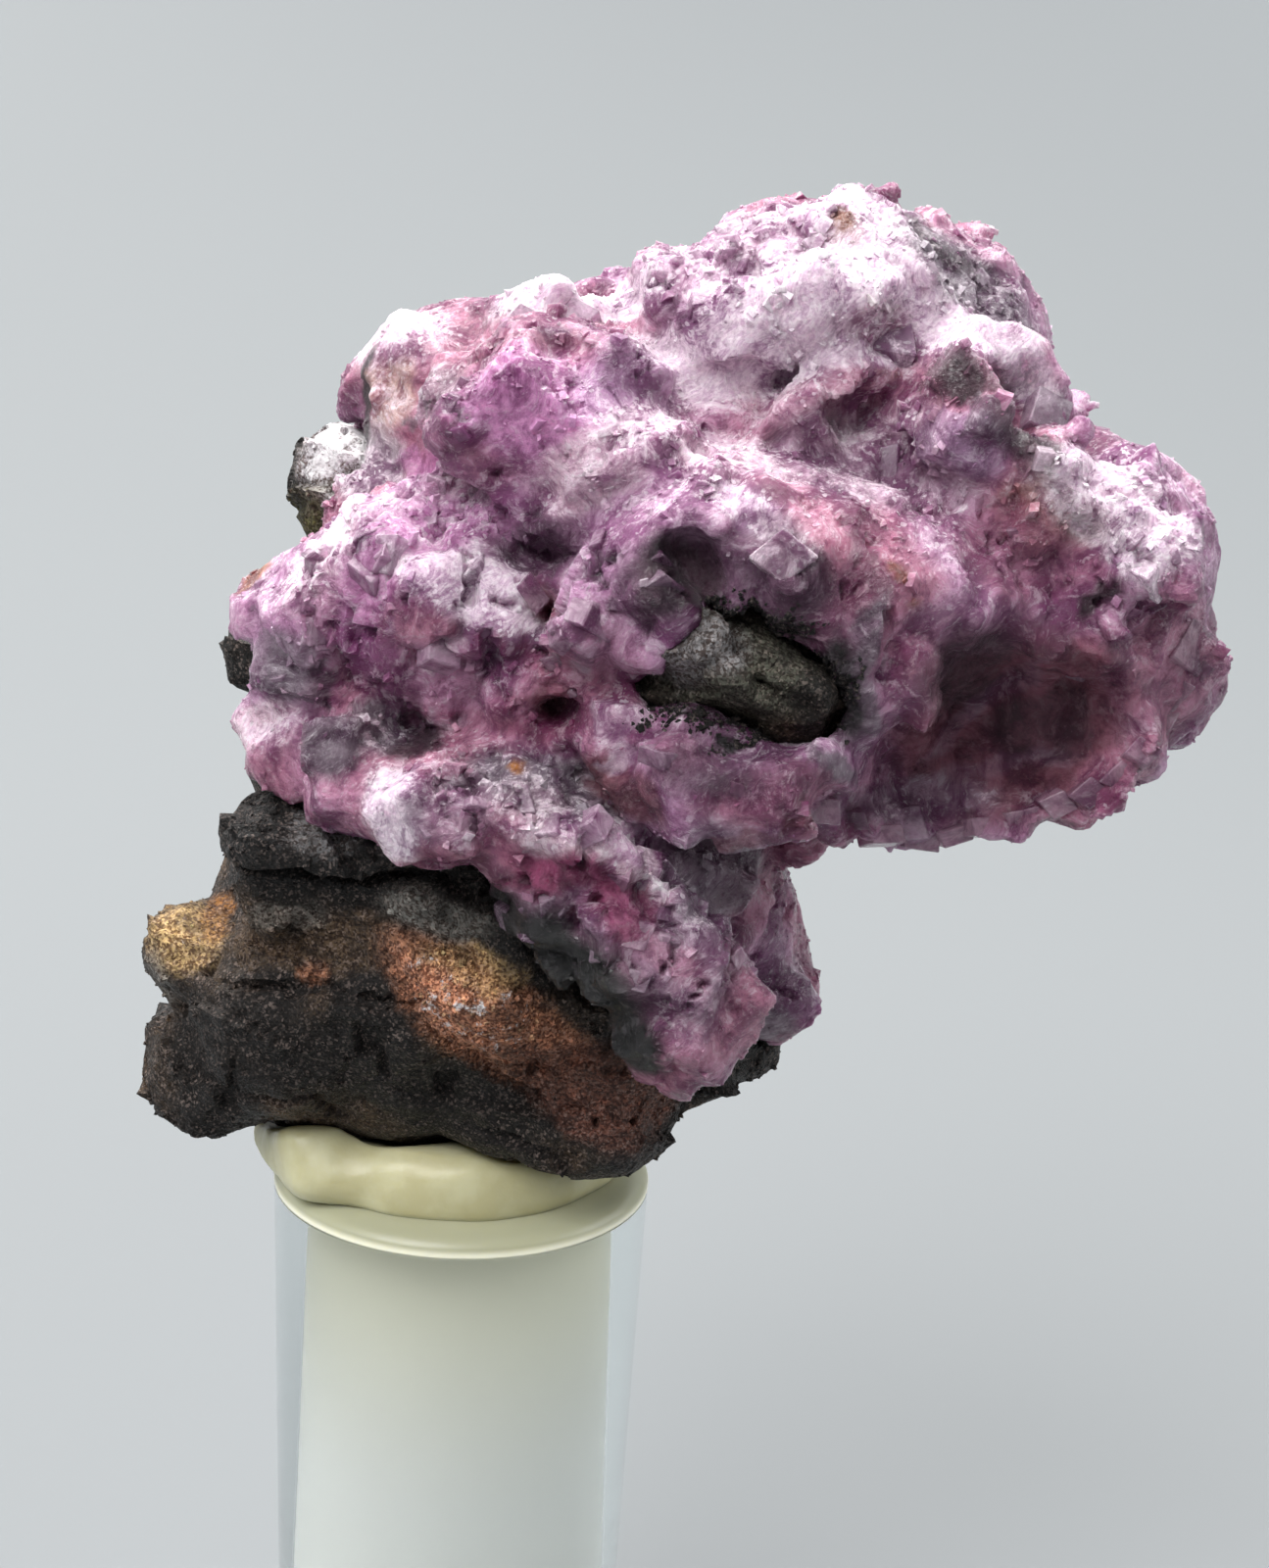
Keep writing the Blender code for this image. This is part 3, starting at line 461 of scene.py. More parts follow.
# Where each mineral shows on the rock, in the same terms as on the calcite
ROCK_SPOTS = [
    ("crust", "black crust", (300, 850), (100, 70), 0, 8.0, 1.0),
    ("crust dust", "white dust", (335, 845), (46, 30), 20, 5.0, 0.24),
    ("crust band", "black crust", (340, 890), (120, 22), -4, 6.0, 0.95),
    ("chalk on crust", "chalk", (402, 840), (42, 52), 10, 5.0, 1.0),
    ("knob", "tan stone", (190, 962), (42, 34), -10, 6.0, 0.9),
    ("knob ochre", "ochre", (225, 935), (16, 26), 0, 4.0, 0.7),
    ("knob grey", "grey stone", (155, 1000), (18, 34), 0, 5.0, 0.6),
    ("rust spot", "orange stone", (322, 997), (15, 13), 0, 3.0, 0.7),
    ("brown layer", "umber", (330, 960), (120, 34), 0, 6.0, 0.8),
    ("grey lens", "grey stone", (445, 935), (62, 24), -8, 4.0, 0.8),
    ("grey lens left", "grey stone", (290, 935), (44, 16), 6, 4.0, 0.5),
    ("black patch", "black crust", (586, 975), (84, 72), -48, 6.0, 1.0),
    ("pebble", "tan stone", (592, 977), (15, 10), 0, 2.0, 0.8),
    ("orange band", "orange stone", (500, 1045), (134, 52), -36, 7.0, 0.95),
    ("orange band low", "red stone", (590, 1110), (90, 40), -38, 6.0, 0.85),
    ("orange band top", "tan stone", (480, 985), (60, 22), -12, 4.0, 0.55),
    ("tan tip", "tan stone", (700, 1065), (24, 16), -10, 3.0, 0.6),
    ("red sparkle", "red stone", (650, 1110), (60, 44), -30, 5.0, 0.7),
    ("right crust", "black crust", (745, 1080), (60, 40), 0, 8.0, 0.9),
    ("left low", "dark rock", (250, 1080), (110, 60), 0, 8.0, 0.9),
    ("back band", "chalk", (350, 455), (44, 66), -8, 9.0, 0.95),
    ("back band grey", "grey stone", (352, 488), (40, 14), 4, 9.0, 0.85),
    ("spine olive", "olive", (310, 530), (24, 32), -30, 6.0, 0.85),
    ("spine ochre", "ochre", (290, 575), (16, 34), -24, 6.0, 0.75),
    ("spine black", "black crust", (268, 640), (16, 46), -24, 6.0, 0.8),
    ("orange knob", "orange stone", (240, 655), (20, 14), 0, 4.0, 0.95),
    ("knob under", "black crust", (245, 688), (20, 16), 0, 4.0, 0.95),
    ("window stone", "green stone", (750, 682), (104, 62), 0, 5.0, 0.98),
    ("window pale", "ash", (712, 662), (56, 32), 12, 4.0, 0.65),
    ("window shade", "black mineral", (838, 722), (36, 46), 10, 3.0, 0.8),
]


def linear(colour):
    """sRGB 0 to 255 as linear light, 0 to 1."""
    part = np.array(colour, float) / 255.0
    return np.where(part <= 0.04045, part / 12.92, ((part + 0.055) / 1.055) ** 2.4)


def unit(vectors):
    """The same directions with length 1."""
    return vectors / np.maximum(np.linalg.norm(vectors, axis=-1, keepdims=True), 1e-12)


def smooth_step(low, high, values):
    """0 below low, 1 above high, with the curve 3t^2 - 2t^3 between."""
    t = np.clip((values - low) / (high - low), 0.0, 1.0)
    return t * t * (3.0 - 2.0 * t)


def hashed(cell, channel):
    """A steady random number from 0 to 1 for each whole-numbered cell: its bits mixed and folded.

    Each channel gives other numbers, here and in every pattern that is made from them.
    """
    x = (cell[..., 0] + 5000).astype(np.uint64) * np.uint64(73856093)
    x ^= (cell[..., 1] + 5000).astype(np.uint64) * np.uint64(19349663)
    x ^= (cell[..., 2] + 5000).astype(np.uint64) * np.uint64(83492791)
    x ^= np.uint64(channel * 2654435761 % 4294967296)
    x &= np.uint64(0xFFFFFFFF)
    for _ in range(2):
        x ^= x >> np.uint64(16)
        x = (x * np.uint64(0x45D9F3B)) & np.uint64(0xFFFFFFFF)
    x ^= x >> np.uint64(16)
    return x.astype(float) / 4294967295.0


def lattice_noise(points, channel):
    """Noise from -1 to 1: random values on a unit lattice, blended by each coordinate's smooth step."""
    cell = np.floor(points).astype(np.int64)
    part = points - cell
    part = part * part * (3.0 - 2.0 * part)
    total = np.zeros(len(points))
    for corner in np.ndindex(2, 2, 2):
        share = np.prod(np.where(np.array(corner) == 1, part, 1.0 - part), axis=1)
        total += share * hashed(cell + np.array(corner), channel)
    return total * 2.0 - 1.0


def cloud(points, size, octaves, channel):
    """Fractal noise from about -1 to 1: each octave has half the size and half the height of the last."""
    total = np.zeros(len(points))
    height = 1.0
    for octave in range(octaves):
        total += height * lattice_noise(points / size * 2.0**octave + 17.3 * octave, channel + octave)
        height *= 0.5
    return total / (2.0 - 2.0 * height)


def turned_frames(cell, channel):
    """A random turn for each cell as three axes: four hashed numbers taken as a unit quaternion."""
    q = np.stack([hashed(cell, channel + k) - 0.5 for k in range(4)], -1)
    w, x, y, z = np.moveaxis(unit(q), -1, 0)
    rows = [
        [1 - 2 * (y * y + z * z), 2 * (x * y - z * w), 2 * (x * z + y * w)],
        [2 * (x * y + z * w), 1 - 2 * (x * x + z * z), 2 * (y * z - x * w)],
        [2 * (x * z - y * w), 2 * (y * z + x * w), 1 - 2 * (x * x + y * y)],
    ]
    return np.moveaxis(np.array(rows), (0, 1), (-2, -1))


def edge_directions():
    """The three edge directions of a cleavage rhombohedron that stands on its polar axis."""
    turns = np.radians((90.0, 210.0, 330.0))
    flat = math.sin(EDGE_LEAN)
    return np.stack([flat * np.cos(turns), flat * np.sin(turns), np.full(3, math.cos(EDGE_LEAN))], 1)


def face_directions():
    """The three face normals of that rhombohedron: each at right angles to two of its edges."""
    edges = edge_directions()
    return unit(np.cross(np.roll(edges, -1, 0), np.roll(edges, -2, 0)))


def crystal_relief(points, normals, pitch, bulk, domain, channel, low, high):
    """How far each point moves along its normal to reach the outside of the crystals around it.

    One rhombohedron sits in each cell of a jittered lattice of that pitch. For each point the line
    along its normal is cut with every near crystal's three slabs, and the furthest way out is kept.
    Crystals in one domain lie parallel, give or take a little. bulk is the range of half widths in pitches.
    """
    faces = face_directions()
    best = np.full(len(points), low)
    home = np.floor(points / pitch).astype(np.int64)
    for step in np.ndindex(3, 3, 3):
        cell = home + np.array(step) - 1
        jitter = np.stack([hashed(cell, channel + k) for k in range(3)], -1)
        middle = (cell + 0.1 + 0.8 * jitter) * pitch
        half = pitch * (bulk[0] + (bulk[1] - bulk[0]) * hashed(cell, channel + 3))
        if domain:
            region = np.floor(middle / domain).astype(np.int64)
        else:
            region = cell
        axes = np.einsum("kj,nij->nki", faces, turned_frames(region, channel + 5))
        away = np.einsum("nki,ni->nk", axes, points - middle)
        slope = np.einsum("nki,ni->nk", axes, normals)
        slope = np.where(np.abs(slope) < 1e-3, 1e-3, slope)
        side = np.sign(slope) * half[:, None]
        leave = np.min((side - away) / slope, axis=1)
        enter = np.max((-side - away) / slope, axis=1)
        hit = (enter < leave) & (enter < high)
        best = np.where(hit & (leave > best), leave, best)
    return np.clip(best, low, high)


def read_points(mesh):
    """A mesh's points in millimetres and its points' normals."""
    places = np.empty(len(mesh.vertices) * 3, np.float32)
    mesh.vertices.foreach_get("co", places)
    normals = np.empty(len(mesh.vertices) * 3, np.float32)
    mesh.vertex_normals.foreach_get("vector", normals)
    return places.reshape(-1, 3).astype(float) / MM, normals.reshape(-1, 3).astype(float)


def write_points(mesh, points):
    """Puts points in millimetres back into a mesh."""
    mesh.vertices.foreach_set("co", (points * MM).astype(np.float32).ravel())
    mesh.update()


def new_mesh(name, points, faces):
    """A mesh from points in millimetres and equal-sided faces."""
    mesh = bpy.data.meshes.new(name)
    mesh.from_pydata((points * MM).tolist(), [], faces.tolist())
    mesh.update()
    return mesh


def new_object(name, mesh):
    """An object with that mesh, in the scene."""
    made = bpy.data.objects.new(name, mesh)
    bpy.context.scene.collection.objects.link(made)
    return made


def settled(made):
    """Turns an object's modifiers into its mesh."""
    graph = bpy.context.evaluated_depsgraph_get()
    old = made.data
    made.data = bpy.data.meshes.new_from_object(made.evaluated_get(graph))
    made.modifiers.clear()
    bpy.data.meshes.remove(old)
    return made.data


def remesh_and_soften(made, grain, rounds):
    """Makes a mesh again from cubes of that grain and smooths it some rounds."""
    remesh = made.modifiers.new("grain", "REMESH")
    remesh.mode = "VOXEL"
    remesh.voxel_size = grain * MM
    soften = made.modifiers.new("soften", "SMOOTH")
    soften.factor = 0.5
    soften.iterations = rounds
    settled(made)


def solid_copy(node, name, grain, rounds):
    """A merged copy of a CAD solid, made again from cubes of that grain and smoothed some rounds."""
    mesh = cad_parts[node].data.copy()
    mesh.materials.clear()
    work = bmesh.new()
    work.from_mesh(mesh)
    bmesh.ops.remove_doubles(work, verts=work.verts, dist=0.001 * MM)
    work.to_mesh(mesh)
    work.free()
    made = new_object(name, mesh)
    remesh_and_soften(made, grain, rounds)
    return made


def inside_box(points, node):
    """Keeps points within a CAD node's box."""
    low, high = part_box(node)
    return np.clip(points, np.array(low) / MM + BOX_INSET, np.array(high) / MM - BOX_INSET)


def keep_in_box(made, node):
    """Keeps an object's points within a CAD node's box."""
    points, _ = read_points(made.data)
    write_points(made.data, inside_box(points, node))


def sight_tree():
    """A search tree of the specimen's CAD solids."""
    points = []
    faces = []
    for node in ("calcite_crystals", "matrix_rock"):
        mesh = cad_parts[node].data
        count = len(points)
        points.extend(v.co.copy() for v in mesh.vertices)
        faces.extend([i + count for i in p.vertices] for p in mesh.polygons)
    return BVHTree.FromPolygons(points, faces)


TREE = sight_tree()


def under_pixel(pixel):
    """The place on the specimen that the photograph shows at a pixel, and its distance ahead."""
    across = (pixel[0] - PHOTO_WIDTH / 2) / PIXELS_PER_SLOPE
    up = (PHOTO_HEIGHT / 2 - pixel[1]) / PIXELS_PER_SLOPE
    ray = FORWARD + across * RIGHT + up * UP
    place = TREE.ray_cast(Vector(CAMERA_PLACE * MM), Vector(ray))[0]
    if place is None:
        middle = Vector((CAMERA_PLACE + ray * 84.0) * MM)
        place = TREE.find_nearest(middle)[0]
    place = np.array(place) / MM
    return place, float((place - CAMERA_PLACE) @ FORWARD)


def warped(points, size, octaves, channel, height):
    """A warp for each point: three fractal noises of that height."""
    return np.stack([cloud(points, size, octaves, channel + 10 * k) for k in range(3)], 1) * height


def spot_share(points, spot, warp):
    """How much of a spot shows at each point: 1 in its middle, falling to 0 at a warped ellipsoid."""
    *_, pixel, reach, lean, depth, strength = spot
    middle, ahead = under_pixel(pixel)
    scale = ahead / PIXELS_PER_SLOPE
    wide, high = reach[0] * scale, reach[1] * scale
    lean = math.radians(lean)
    along = math.cos(lean) * RIGHT + math.sin(lean) * UP
    across = -math.sin(lean) * RIGHT + math.cos(lean) * UP
    away = points + warp - middle
    parts = np.stack([away @ along / wide, away @ across / high, away @ FORWARD / depth], 1)
    return strength * smooth_step(*SPOT_EDGE, np.linalg.norm(parts, axis=1))


def painted(points, ground, spots, channel):
    """Each point's colour, frost and clearness: a ground mineral with the spots' minerals laid over it."""
    warp = warped(points, 1.6, 4, channel, 0.7)
    colour, frost, clear = (np.array(x, float) for x in ground)
    for spot in spots:
        share = spot_share(points, spot, warp)
        rgb, mineral_frost, mineral_clear = MINERALS[spot[1]]
        colour += (linear(rgb) - colour) * share[:, None]
        frost += (mineral_frost - frost) * share
        clear += (mineral_clear - clear) * share
    return colour, frost, clear


def store(mesh, name, values):
    """Writes one number or one colour for each point of a mesh."""
    if values.ndim == 1:
        layer = mesh.attributes.new(name, "FLOAT", "POINT")
        layer.data.foreach_set("value", values.astype(np.float32))
        return
    layer = mesh.attributes.new(name, "FLOAT_COLOR", "POINT")
    rgba = np.concatenate([values, np.ones((len(values), 1))], 1)
    layer.data.foreach_set("color", rgba.astype(np.float32).ravel())


def store_looks(mesh, looks, copies=1):
    """Writes colour, frost and clearness: each value to one point, or to all the corners of a block."""
    for name, values in zip(("tint", "frost", "clear"), looks):
        store(mesh, name, np.repeat(values, copies, 0))


def mixed(first, second, share):
    """Two minerals' colour, frost and clearness mixed by a share for each point."""
    a, b = MINERALS[first], MINERALS[second]
    rest = share[:, None]
    colour = linear(a[0]) * (1 - rest) + linear(b[0]) * rest
    return colour, a[1] + (b[1] - a[1]) * share, a[2] + (b[2] - a[2]) * share


CUBE_CORNERS = np.array([(x, y, z) for x in (-0.5, 0.5) for y in (-0.5, 0.5) for z in (-0.5, 0.5)])
CUBE_FACES = np.array([(0, 1, 3, 2), (4, 6, 7, 5), (0, 4, 5, 1), (2, 3, 7, 6), (0, 2, 6, 4), (1, 5, 7, 3)])


def cleavage_blocks(places, outward, along, edges, rise):
    """Middles and edge vectors of calcite cleavage blocks, each with one face turned outward.

    That face's first edge follows a direction, and its second meets it at the blunt angle A. The
    third goes inward at the same angle to both: k (first + second) - sqrt(1 - 2 k^2 (1 + cos A))
    outward, with k = cos A / (1 + cos A). The face stands off its place by rise.
    """
    first = unit(along - outward * np.sum(along * outward, axis=1, keepdims=True))
    second = math.cos(BLUNT) * first + math.sin(BLUNT) * np.cross(outward, first)
    k = math.cos(BLUNT) / (1.0 + math.cos(BLUNT))
    third = k * (first + second) - math.sqrt(1.0 - 2.0 * k * k * (1.0 + math.cos(BLUNT))) * outward
    frames = np.stack([second, first, third], 1) * edges[:, :, None]
    return places + outward * rise[:, None] + 0.5 * frames[:, 2], frames


def block_mesh(name, middles, frames):
    """A mesh of blocks: each corner is the middle plus or minus half of each edge vector."""
    corners = np.einsum("vk,nkj->nvj", CUBE_CORNERS, frames) + middles[:, None]
    faces = CUBE_FACES[None] + 8 * np.arange(len(middles))[:, None, None]
    return new_mesh(name, corners.reshape(-1, 3), faces.reshape(-1, 4))


def block_piece(name, middles, frames, looks, node):
    """An object of blocks within a node's box, each with its own colour, frost and clearness."""
    made = new_object(name, block_mesh(name, middles, frames))
    keep_in_box(made, node)
    store_looks(made.data, looks, len(CUBE_CORNERS))
    return made


def scattered(mesh, count, weight, rng):
    """Random places on a mesh with their normals, more where weight is higher."""
    mesh.calc_loop_triangles()
    corners = np.empty(len(mesh.loop_triangles) * 3, np.int32)
    mesh.loop_triangles.foreach_get("vertices", corners)
    corners = corners.reshape(-1, 3)
    points, normals = read_points(mesh)
    a, b, c = (points[corners[:, k]] for k in range(3))
    area = np.linalg.norm(np.cross(b - a, c - a), axis=1)
    chance = area * np.maximum(weight[corners].mean(1), 0.0)
    picked = rng.choice(len(corners), count, p=chance / chance.sum())
    u, v = rng.random((2, count))
    flip = u + v > 1
    u[flip], v[flip] = 1 - u[flip], 1 - v[flip]
    places = a[picked] + u[:, None] * (b - a)[picked] + v[:, None] * (c - a)[picked]
    return places, unit(normals[corners[picked]].mean(1))


def tilted(normals, spread, rng):
    """Directions near the normals, tipped at random by about that much."""
    return unit(normals + rng.normal(0.0, spread, normals.shape))


def join_crystals(made, middles, frames, grain):
    """Sinks crystals in a mass and makes both again as one mesh of that grain, a little softened."""
    extra = block_mesh("crystals", middles, frames)
    work = bmesh.new()
    work.from_mesh(made.data)
    work.from_mesh(extra)
    work.to_mesh(made.data)
    work.free()
    bpy.data.meshes.remove(extra)
    remesh_and_soften(made, grain, 1)


def picture_direction(parts):
    """A direction given as shares to the picture's right, up and towards the viewer."""
    return unit(parts[0] * RIGHT + parts[1] * UP - parts[2] * FORWARD)


def single_blocks(singles):
    """The single crystals' middles and edge vectors, each set on the surface under its pixel."""
    rows = []
    for _, _, pixel, size, face, lean, off in singles:
        turn = math.radians(lean)
        along = math.cos(turn) * RIGHT + math.sin(turn) * UP
        rows.append((under_pixel(pixel)[0], picture_direction(face), along, (size[1], size[0], size[2]), off))
    return cleavage_blocks(*(np.array(part, float) for part in zip(*rows)))


def pushed(points, pushes, channel):
    """How far each point is raised or sunk by the named swells and hollows around it."""
    warp = warped(points, 1.2, 3, channel, 0.45)
    total = np.zeros(len(points))
    for spot in pushes:
        total += spot_share(points, spot, warp)
    return total


def zone_share(points, zones, channel):
    """The strongest of the named zones at each point."""
    warp = warped(points, 2.0, 3, channel, 0.8)
    share = np.zeros(len(points))
    for zone in zones:
        share = np.maximum(share, spot_share(points, zone, warp))
    return share


def add_node(tree, kind, inputs=None, **settings):
    """A shader node with its settings, and its inputs set or linked."""
    made = tree.nodes.new(kind)
    for name, value in settings.items():
        setattr(made, name, value)
    for key, value in (inputs or {}).items():
        if isinstance(value, bpy.types.NodeSocket):
            tree.links.new(value, made.inputs[key])
        else:
            made.inputs[key].default_value = value
    return made


def new_material(name):
    """An empty node material, its tree and the object's coordinates in millimetres."""
    material = bpy.data.materials.new(name)
    material.use_nodes = True
    tree = material.node_tree
    tree.nodes.clear()
    place = add_node(tree, "ShaderNodeTexCoord").outputs["Object"]
    return material, tree, scaled_by(tree, place, 1.0 / MM)


def noise(tree, place, scale, detail=4.0, rough=0.55, warp=0.0):
    """Fractal noise from 0 to 1, with that many features to a millimetre."""
    inputs = {"Vector": place, "Scale": scale, "Detail": detail, "Roughness": rough, "Distortion": warp}
    return add_node(tree, "ShaderNodeTexNoise", inputs).outputs[0]


def cells(tree, place, scale):
    """A random colour for each cell of a broken mosaic, with that many cells to a millimetre."""
    return add_node(tree, "ShaderNodeTexVoronoi", {"Vector": place, "Scale": scale}).outputs["Color"]


def cell_numbers(tree, place, scale):
    """Three random numbers for each cell of such a mosaic."""
    return add_node(tree, "ShaderNodeSeparateColor", {"Color": cells(tree, place, scale)}).outputs


def vectors(tree, operation, *inputs):
    """What a vector math node makes of its inputs."""
    return add_node(tree, "ShaderNodeVectorMath", dict(enumerate(inputs)), operation=operation).outputs[0]


def scaled_by(tree, vector, factor):
    """A vector times a number."""
    inputs = {0: vector, "Scale": factor}
    return add_node(tree, "ShaderNodeVectorMath", inputs, operation="SCALE").outputs[0]


def stretched(tree, place, turn, scale):
    """Coordinates turned and then scaled unequally, so that a pattern on them draws out into streaks."""
    turned = add_node(tree, "ShaderNodeMapping", {"Vector": place, "Rotation": turn}, vector_type="POINT")
    return vectors(tree, "MULTIPLY", turned.outputs[0], scale)


def ranged(tree, value, low, high, new_low=0.0, new_high=1.0):
    """A value carried smoothly from one range to another, and held at its ends."""
    inputs = {"Value": value, "From Min": low, "From Max": high, "To Min": new_low, "To Max": new_high}
    return add_node(tree, "ShaderNodeMapRange", inputs, interpolation_type="SMOOTHSTEP").outputs[0]


def maths(tree, operation, first, second=0.0):
    """What a math node makes of two numbers."""
    return add_node(tree, "ShaderNodeMath", {0: first, 1: second}, operation=operation).outputs[0]


def weighted(tree, *parts):
    """The sum of values, each times its weight."""
    total, *others = [maths(tree, "MULTIPLY", value, weight) for value, weight in parts]
    for other in others:
        total = maths(tree, "ADD", total, other)
    return total


def mix_colours(tree, share, first, second, blend="MIX"):
    """The second colour laid over the first by a share."""
    inputs = {0: share, 6: first, 7: second}
    return add_node(tree, "ShaderNodeMix", inputs, data_type="RGBA", blend_type=blend).outputs[2]


def rgba(colour):
    """sRGB 0 to 255 as an opaque linear colour."""
    return (*linear(colour), 1.0)


def attribute(tree, name, output="Fac"):
    """What a piece's points carry under that name."""
    return add_node(tree, "ShaderNodeAttribute", attribute_name=name).outputs[output]


def height_of(tree, place):
    """The height in millimetres over the table."""
    return add_node(tree, "ShaderNodeSeparateXYZ", {0: place}).outputs[2]


def plain_normal(tree):
    """The surface's own normal."""
    return add_node(tree, "ShaderNodeNewGeometry").outputs["Normal"]


def faceted(tree, place, layers):
    """A normal broken into small flat facets: each cell of each layer tips it its own way by that much."""
    total = plain_normal(tree)
    for scale, tip in layers:
        own = vectors(tree, "SUBTRACT", cells(tree, place, scale), (0.5,) * 3)
        total = vectors(tree, "ADD", total, scaled_by(tree, own, tip))
    return vectors(tree, "NORMALIZE", total)


def bumped(tree, height, normal, distance, strength=1.0):
    """A normal tipped by a height, whose full range is that many millimetres."""
    inputs = {"Height": height, "Normal": normal, "Distance": distance * MM, "Strength": strength}
    return add_node(tree, "ShaderNodeBump", inputs).outputs[0]


def finish_with(tree, inputs):
    """The surface shader with its inputs, joined to the output, which it gives back."""
    surface = add_node(tree, "ShaderNodeBsdfPrincipled", inputs)
    return add_node(tree, "ShaderNodeOutputMaterial", {"Surface": surface.outputs[0]})


def calcite_material(name, polish, tips, cloudy):
    """Pink calcite: translucent depth under swirling veils, white frost, pale growth lines that are partly
    painted glint streaks, glinting facets and painted glint specks.

    polish is the range of its bare faces' roughness, tips is how far small facets tip its normal, and
    cloudy is how much light it scatters inside.
    """
    material, tree, place = new_material(name)
    tint = attribute(tree, "tint", "Color")
    frost = attribute(tree, "frost")
    clear = attribute(tree, "clear")

    drift = add_node(tree, "ShaderNodeTexNoise", {"Vector": place, "Scale": 0.38, "Detail": 2.0})
    swirl = vectors(tree, "MULTIPLY_ADD", drift.outputs["Color"], (3.0,) * 3, place)
    broad = noise(tree, swirl, 0.5, 6.0, 0.62)
    middle = noise(tree, swirl, 1.7, 6.0, 0.70)
    fine = noise(tree, place, 4.2, 5.0, 0.75)
    deep = mix_colours(tree, 1.0, tint, rgba((158, 116, 152)), "MULTIPLY")
    milky = mix_colours(tree, ranged(tree, frost, 0.0, 0.16, 0.08, 0.55), tint, rgba((246, 232, 242)))
    body = mix_colours(tree, ranged(tree, broad, 0.40, 0.60), deep, tint)
    body = mix_colours(tree, ranged(tree, middle, 0.36, 0.50, 0.6, 0.0), body, deep)
    body = mix_colours(tree, ranged(tree, middle, 0.52, 0.66, 0.0, 0.6), body, milky)

    line_place = stretched(tree, swirl, (0.5, -0.6, 0.4), (4.6, 4.6, 0.6))
    lines = noise(tree, line_place, 1.5, 5.0, 0.74)
    cross_place = stretched(tree, place, (-0.7, 0.3, 1.2), (5.6, 0.7, 5.6))
    cross = noise(tree, cross_place, 1.4, 4.0, 0.74)
    # Pale streaks along the growth lines: partly the calcite's own fibrous striae, partly painted glint
    # streaks
    body = mix_colours(tree, ranged(tree, lines, 0.58, 0.68, 0.0, 0.5), body, milky)
    body = mix_colours(tree, ranged(tree, cross, 0.60, 0.70, 0.0, 0.4), body, milky)

    brushed = weighted(tree, (lines, 0.22), (fine, 0.14), (middle, 0.28), (broad, 0.36))
    edge = maths(tree, "SUBTRACT", 0.68, maths(tree, "MULTIPLY", frost, 0.26))
    frosting = ranged(tree, maths(tree, "SUBTRACT", brushed, edge), -0.08, 0.08)
    striae = ranged(tree, weighted(tree, (lines, 0.6), (fine, 0.4)), 0.42, 0.58)
    frosted = mix_colours(tree, striae, rgba((204, 168, 196)), rgba((246, 228, 238)))
    body = mix_colours(tree, maths(tree, "MULTIPLY", frosting, 0.85), body, frosted)

    chips = cell_numbers(tree, place, 7.0)
    shade = ranged(tree, chips[0], 0.0, 1.0, 0.86, 1.0)
    greys = add_node(tree, "ShaderNodeCombineColor", {0: shade, 1: shade, 2: shade}).outputs[0]
    body = mix_colours(tree, 1.0, body, greys, "MULTIPLY")
    # Painted glints: rare cells of frosted surface turned near-white in the colour
    painted_glints = maths(tree, "MULTIPLY", ranged(tree, chips[1], 0.90, 0.95), ranged(tree, frost, 0.2, 0.6))
    body = mix_colours(tree, maths(tree, "MULTIPLY", painted_glints, 0.6), body, rgba((244, 232, 240)))

    glassy = maths(tree, "MULTIPLY", maths(tree, "SUBTRACT", 1.0, frosting), clear)
    shine = ranged(tree, noise(tree, place, 4.0, 2.0), 0.3, 0.7, *polish)
    rough = maths(tree, "ADD", shine, maths(tree, "MULTIPLY", frosting, 0.3))
    facets = faceted(tree, place, ((1.6, 0.5 * tips), (7.0, tips), (15.0, tips)))
    ridges = maths(tree, "ADD", maths(tree, "ADD", lines, maths(tree, "MULTIPLY", cross, 0.6)), middle)
    normal = bumped(tree, ridges, facets, 0.36 * tips, 0.9)
    finish_with(
        tree,
        {
            "Base Color": body,
            "Roughness": rough,
            "Normal": normal,
            "Subsurface Weight": cloudy,
            "Subsurface Radius": (1.0, 0.85, 0.95),
            "Subsurface Scale": 1.2 * MM,
            "Transmission Weight": glassy,
            "IOR": 1.56,
        },
    )
    return material


